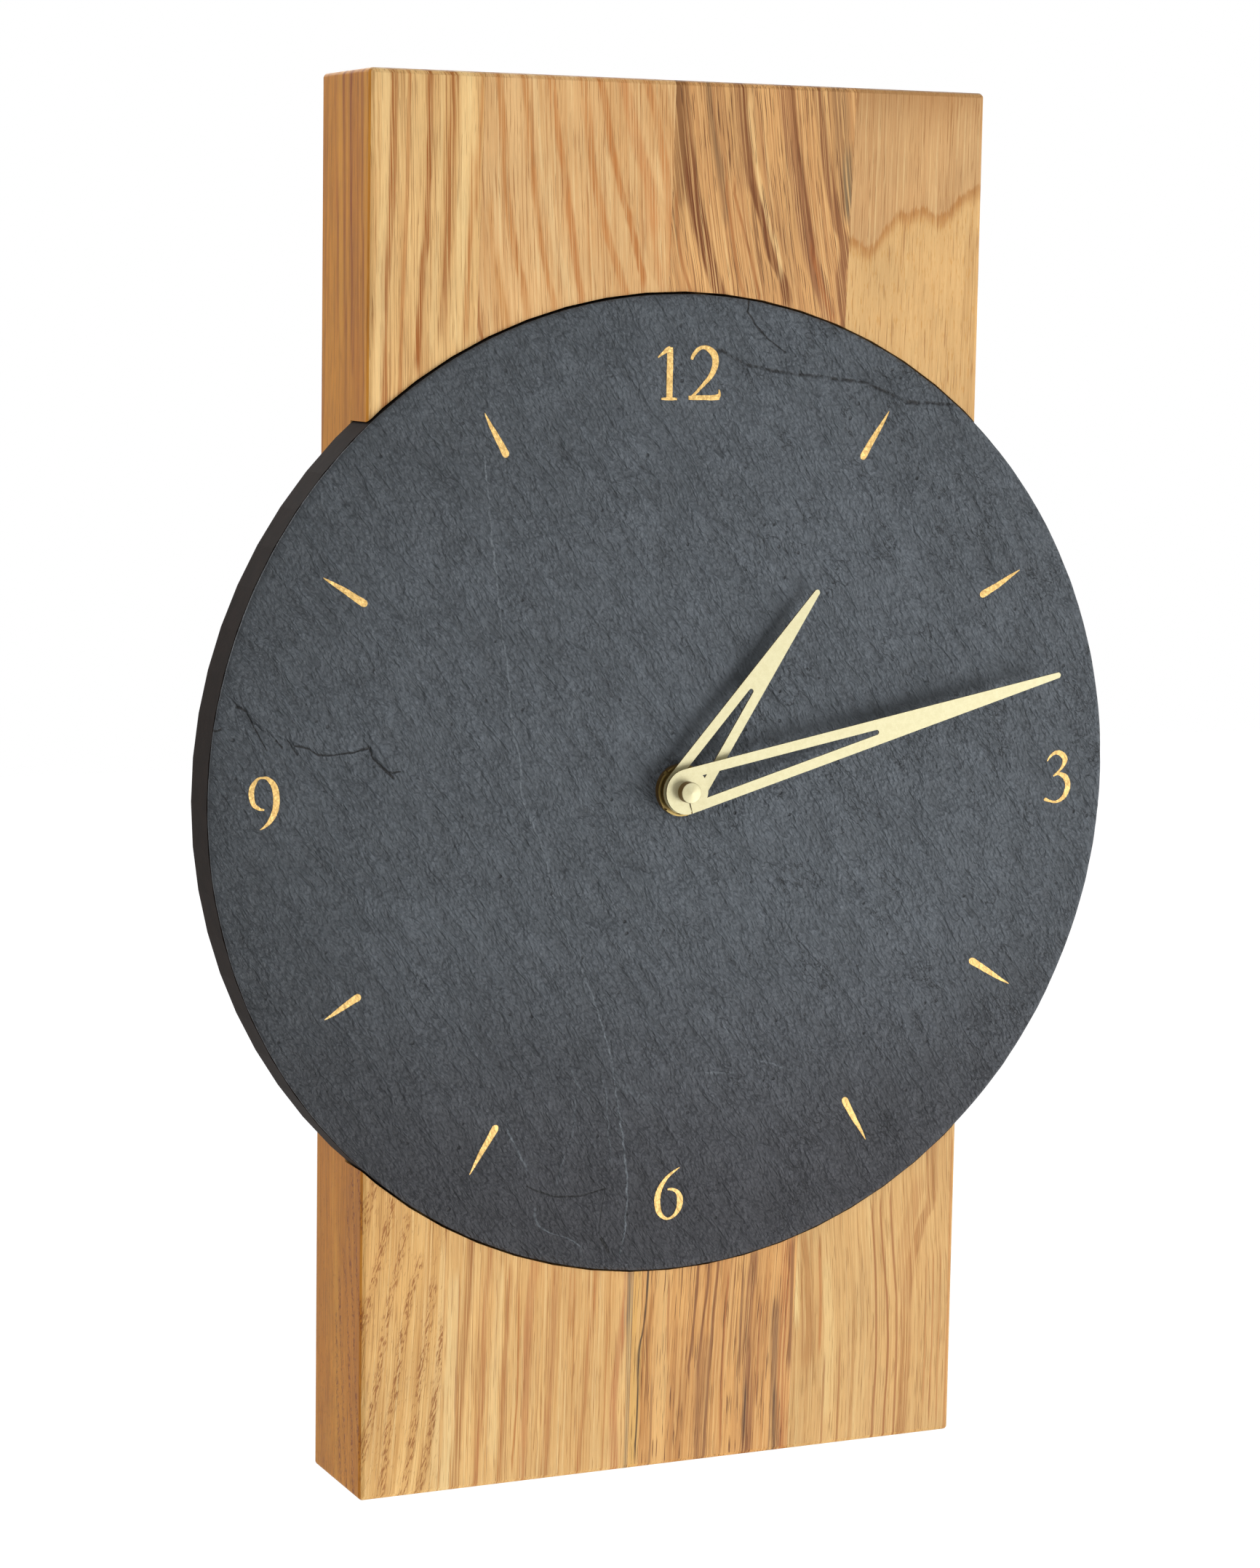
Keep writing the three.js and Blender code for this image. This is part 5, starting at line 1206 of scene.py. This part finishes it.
def build_cap(material):
    """A blind nut whose front is a flat cone with a rounded rim."""
    low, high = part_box("cap_nut")
    front, back = low.y / MM, high.y / MM
    radius = (high.x - low.x) / 2 / MM
    profile = [(0, front + CAP_WALL), (CAP_BORE, front + CAP_WALL), (CAP_BORE, back),
               (radius - CAP_CHAMFER, back), (radius, back - CAP_CHAMFER)]
    for turn in np.linspace(0, math.pi / 2, 6):
        profile.append((radius - CAP_ROUND * (1 - math.cos(turn)),
                        front + CAP_CONE + CAP_ROUND * (1 - math.sin(turn))))
    profile += [(radius * 0.5, front + CAP_CONE * 0.52), (radius * 0.12, front + CAP_CONE * 0.1),
                (radius * 0.05, front + 0.02), (0, front)]
    points, faces = turned(profile, CAP_AROUND)
    new_piece("cap", points, faces, material, "minute_body", replaces=("cap_nut",))


# The glue in the joints between the staves

# x of the joints at the top and at the bottom of the block
JOINTS_TOP = [-65.4, -4.1, 56.6]
JOINTS_BOTTOM = [-76.1, -12.8, 42.9]
GLUE_HALF = 0.046
GLUE_SUNK = 0.03
GLUE_DEPTH = 1.6
GLUE_END = 1.6
# the glue shows outside this radius, just past the recess for the disc
GLUE_RADIUS = 151.2


def joint_x(z, x_top, x_bottom, top, bottom):
    """Where a straight joint lies at the height z."""
    return x_bottom + (x_top - x_bottom) * (z - bottom) / (top - bottom)


def build_glue_lines(material):
    """The glue in the thin joints, seen outside the dial."""
    low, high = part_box("stave_2")
    front, top, bottom = low.y / MM, high.z / MM - HUB_Z, low.z / MM - HUB_Z
    corners = [(-GLUE_HALF, front + GLUE_SUNK), (GLUE_HALF, front + GLUE_SUNK),
               (GLUE_HALF, front + GLUE_DEPTH), (-GLUE_HALF, front + GLUE_DEPTH)]
    points, faces = [], []
    for x_top, x_bottom in zip(JOINTS_TOP, JOINTS_BOTTOM):
        joint = (x_top, x_bottom, top, bottom)
        for end, way in ((top - GLUE_END, 1), (bottom + GLUE_END, -1)):
            start = way * 100.0
            while math.hypot(joint_x(start, *joint), start) < GLUE_RADIUS:
                start += way * 0.5
            loops = []
            for z in np.linspace(start, end, 24):
                x = joint_x(z, *joint)
                loops.append([np.array([x + aside, y, z]) for aside, y in corners])
            strip(loops[::way], points, faces)
    new_piece("glue_lines", points, faces, material, "clock_body", smooth=False)


# The nodes that stay

BEVELLED = ("hour_hand", "minute_hand", "round_nut")
BEVEL_WIDTH = 0.07
BEVEL_ANGLE = 50
SMOOTH_ANGLE = 30


def smooth_by_angle():
    """Modifier group that shades faces smooth where they meet at a small angle."""
    group = bpy.data.node_groups.new("smooth_by_angle", "GeometryNodeTree")
    group.interface.new_socket("Geometry", in_out="INPUT", socket_type="NodeSocketGeometry")
    group.interface.new_socket("Geometry", in_out="OUTPUT", socket_type="NodeSocketGeometry")
    new, link = group.nodes.new, group.links.new
    start, end = new("NodeGroupInput"), new("NodeGroupOutput")
    angle = new("GeometryNodeInputMeshEdgeAngle")
    flat = new("FunctionNodeCompare")
    flat.data_type = "FLOAT"
    flat.operation = "LESS_EQUAL"
    flat.inputs[1].default_value = math.radians(SMOOTH_ANGLE)
    faces, edges = new("GeometryNodeSetShadeSmooth"), new("GeometryNodeSetShadeSmooth")
    faces.domain = "FACE"
    edges.domain = "EDGE"
    link(start.outputs[0], faces.inputs["Geometry"])
    link(faces.outputs["Geometry"], edges.inputs["Geometry"])
    link(angle.outputs["Unsigned Angle"], flat.inputs[0])
    link(flat.outputs["Result"], edges.inputs["Shade Smooth"])
    link(edges.outputs["Geometry"], end.inputs[0])
    return group


def dress(name, material):
    materials = nodes[name].data.materials
    materials.clear()
    materials.append(material)


def add_modifiers(group):
    for name, piece in nodes.items():
        if name in BEVELLED:
            bevel = piece.modifiers.new("bevel", "BEVEL")
            bevel.width = BEVEL_WIDTH * MM
            bevel.segments = 2
            bevel.limit_method = "ANGLE"
            bevel.angle_limit = math.radians(BEVEL_ANGLE)
        smooth = piece.modifiers.new("smooth", "NODES")
        smooth.node_group = group


# The whole scene

add_camera()
add_world()
for name, (lamp_place, side, power) in LAMPS.items():
    add_lamp(name, lamp_place, side, power)
add_floor()

for number in range(len(STAVES)):
    dress(f"stave_{number + 1}", oak(number))
build_slate(slate())
leaf = gold_leaf()
build_numerals(leaf)
build_hour_marks(leaf)
build_glue_lines(plain("glue", (206, 156, 100), (186, 134, 80), 0.5, scale=1.2, bump=0.01))

# the edge tone is painted shade on the hands' side walls
hand_metal = plain("hand_brass", (200, 193, 155), (192, 184, 144), 0.5, metallic=0.35, scale=5.0,
                   bump=0.012, edge=(100, 74, 30))
COATS = [
    (hand_metal, ["hour_hand", "minute_hand"]),
    # painted shade and painted dark reflection: the nut's brass is darker than the hands', and its edge
    # tone shades its walls
    (plain("nut_brass_shaded", (146, 124, 70), (134, 112, 60), 0.4, metallic=0.6, scale=0.6, bump=0.002,
           edge=(96, 72, 30)), ["round_nut"]),
    (plain("dyed_board", (38, 30, 26), (28, 22, 19), 0.8, scale=1.5, bump=0.06, specular=0.12),
     ["dial_backing"]),
    (plain("brass", (214, 176, 98), (190, 150, 76), 0.34, metallic=1.0, scale=2.0, bump=0.008),
     ["hour_wheel", "motion_wheel", "cannon_pinion", "setting_stem", "centre_wheel", "third_wheel",
      "seconds_wheel"]),
    (plain("steel", (176, 180, 185), (150, 154, 160), 0.36, metallic=1.0, scale=2.0, bump=0.01),
     ["hanger_plate", "stator", "coil_core", "contact_positive", "contact_negative", "quartz_crystal"]),
    (plain("zinc_screw", (196, 190, 170), (168, 160, 136), 0.38, metallic=1.0, scale=2.5, bump=0.01),
     ["hanger_screw_1", "hanger_screw_2", "dial_screw_1", "dial_screw_2", "dial_screw_3", "dial_screw_4"]),
    (plain("black_plastic", (34, 34, 36), (26, 26, 28), 0.55, scale=2.2, bump=0.03),
     ["movement_case", "movement_cover"]),
    (plain("white_plastic", (232, 230, 222), (222, 218, 208), 0.45, scale=0.8, bump=0.01),
     ["step_wheel", "rotor_pinion", "train_plate", "coil_bobbin", "setting_knob"]),
    (plain("rubber", (36, 36, 37), (27, 27, 28), 0.85, scale=1.2, bump=0.02), ["rubber_washer"]),
    (plain("copper_wire", (196, 118, 70), (150, 80, 42), 0.4, metallic=1.0, scale=1.0, bump=0.05,
           stretch=(4.5, 0.3, 0.3)), ["coil_winding"]),
    (plain("circuit_board", (54, 116, 74), (40, 92, 58), 0.45, scale=0.7, bump=0.02, spots=(196, 170, 96)),
     ["circuit_board"]),
    (plain("magnet", (92, 94, 98), (70, 72, 76), 0.5, metallic=0.8, scale=1.5, bump=0.02),
     ["rotor_magnet"]),
    (battery_sleeve(), ["battery"]),
]
for coat, names in COATS:
    for name in names:
        dress(name, coat)
build_cap(hand_metal)
add_modifiers(smooth_by_angle())
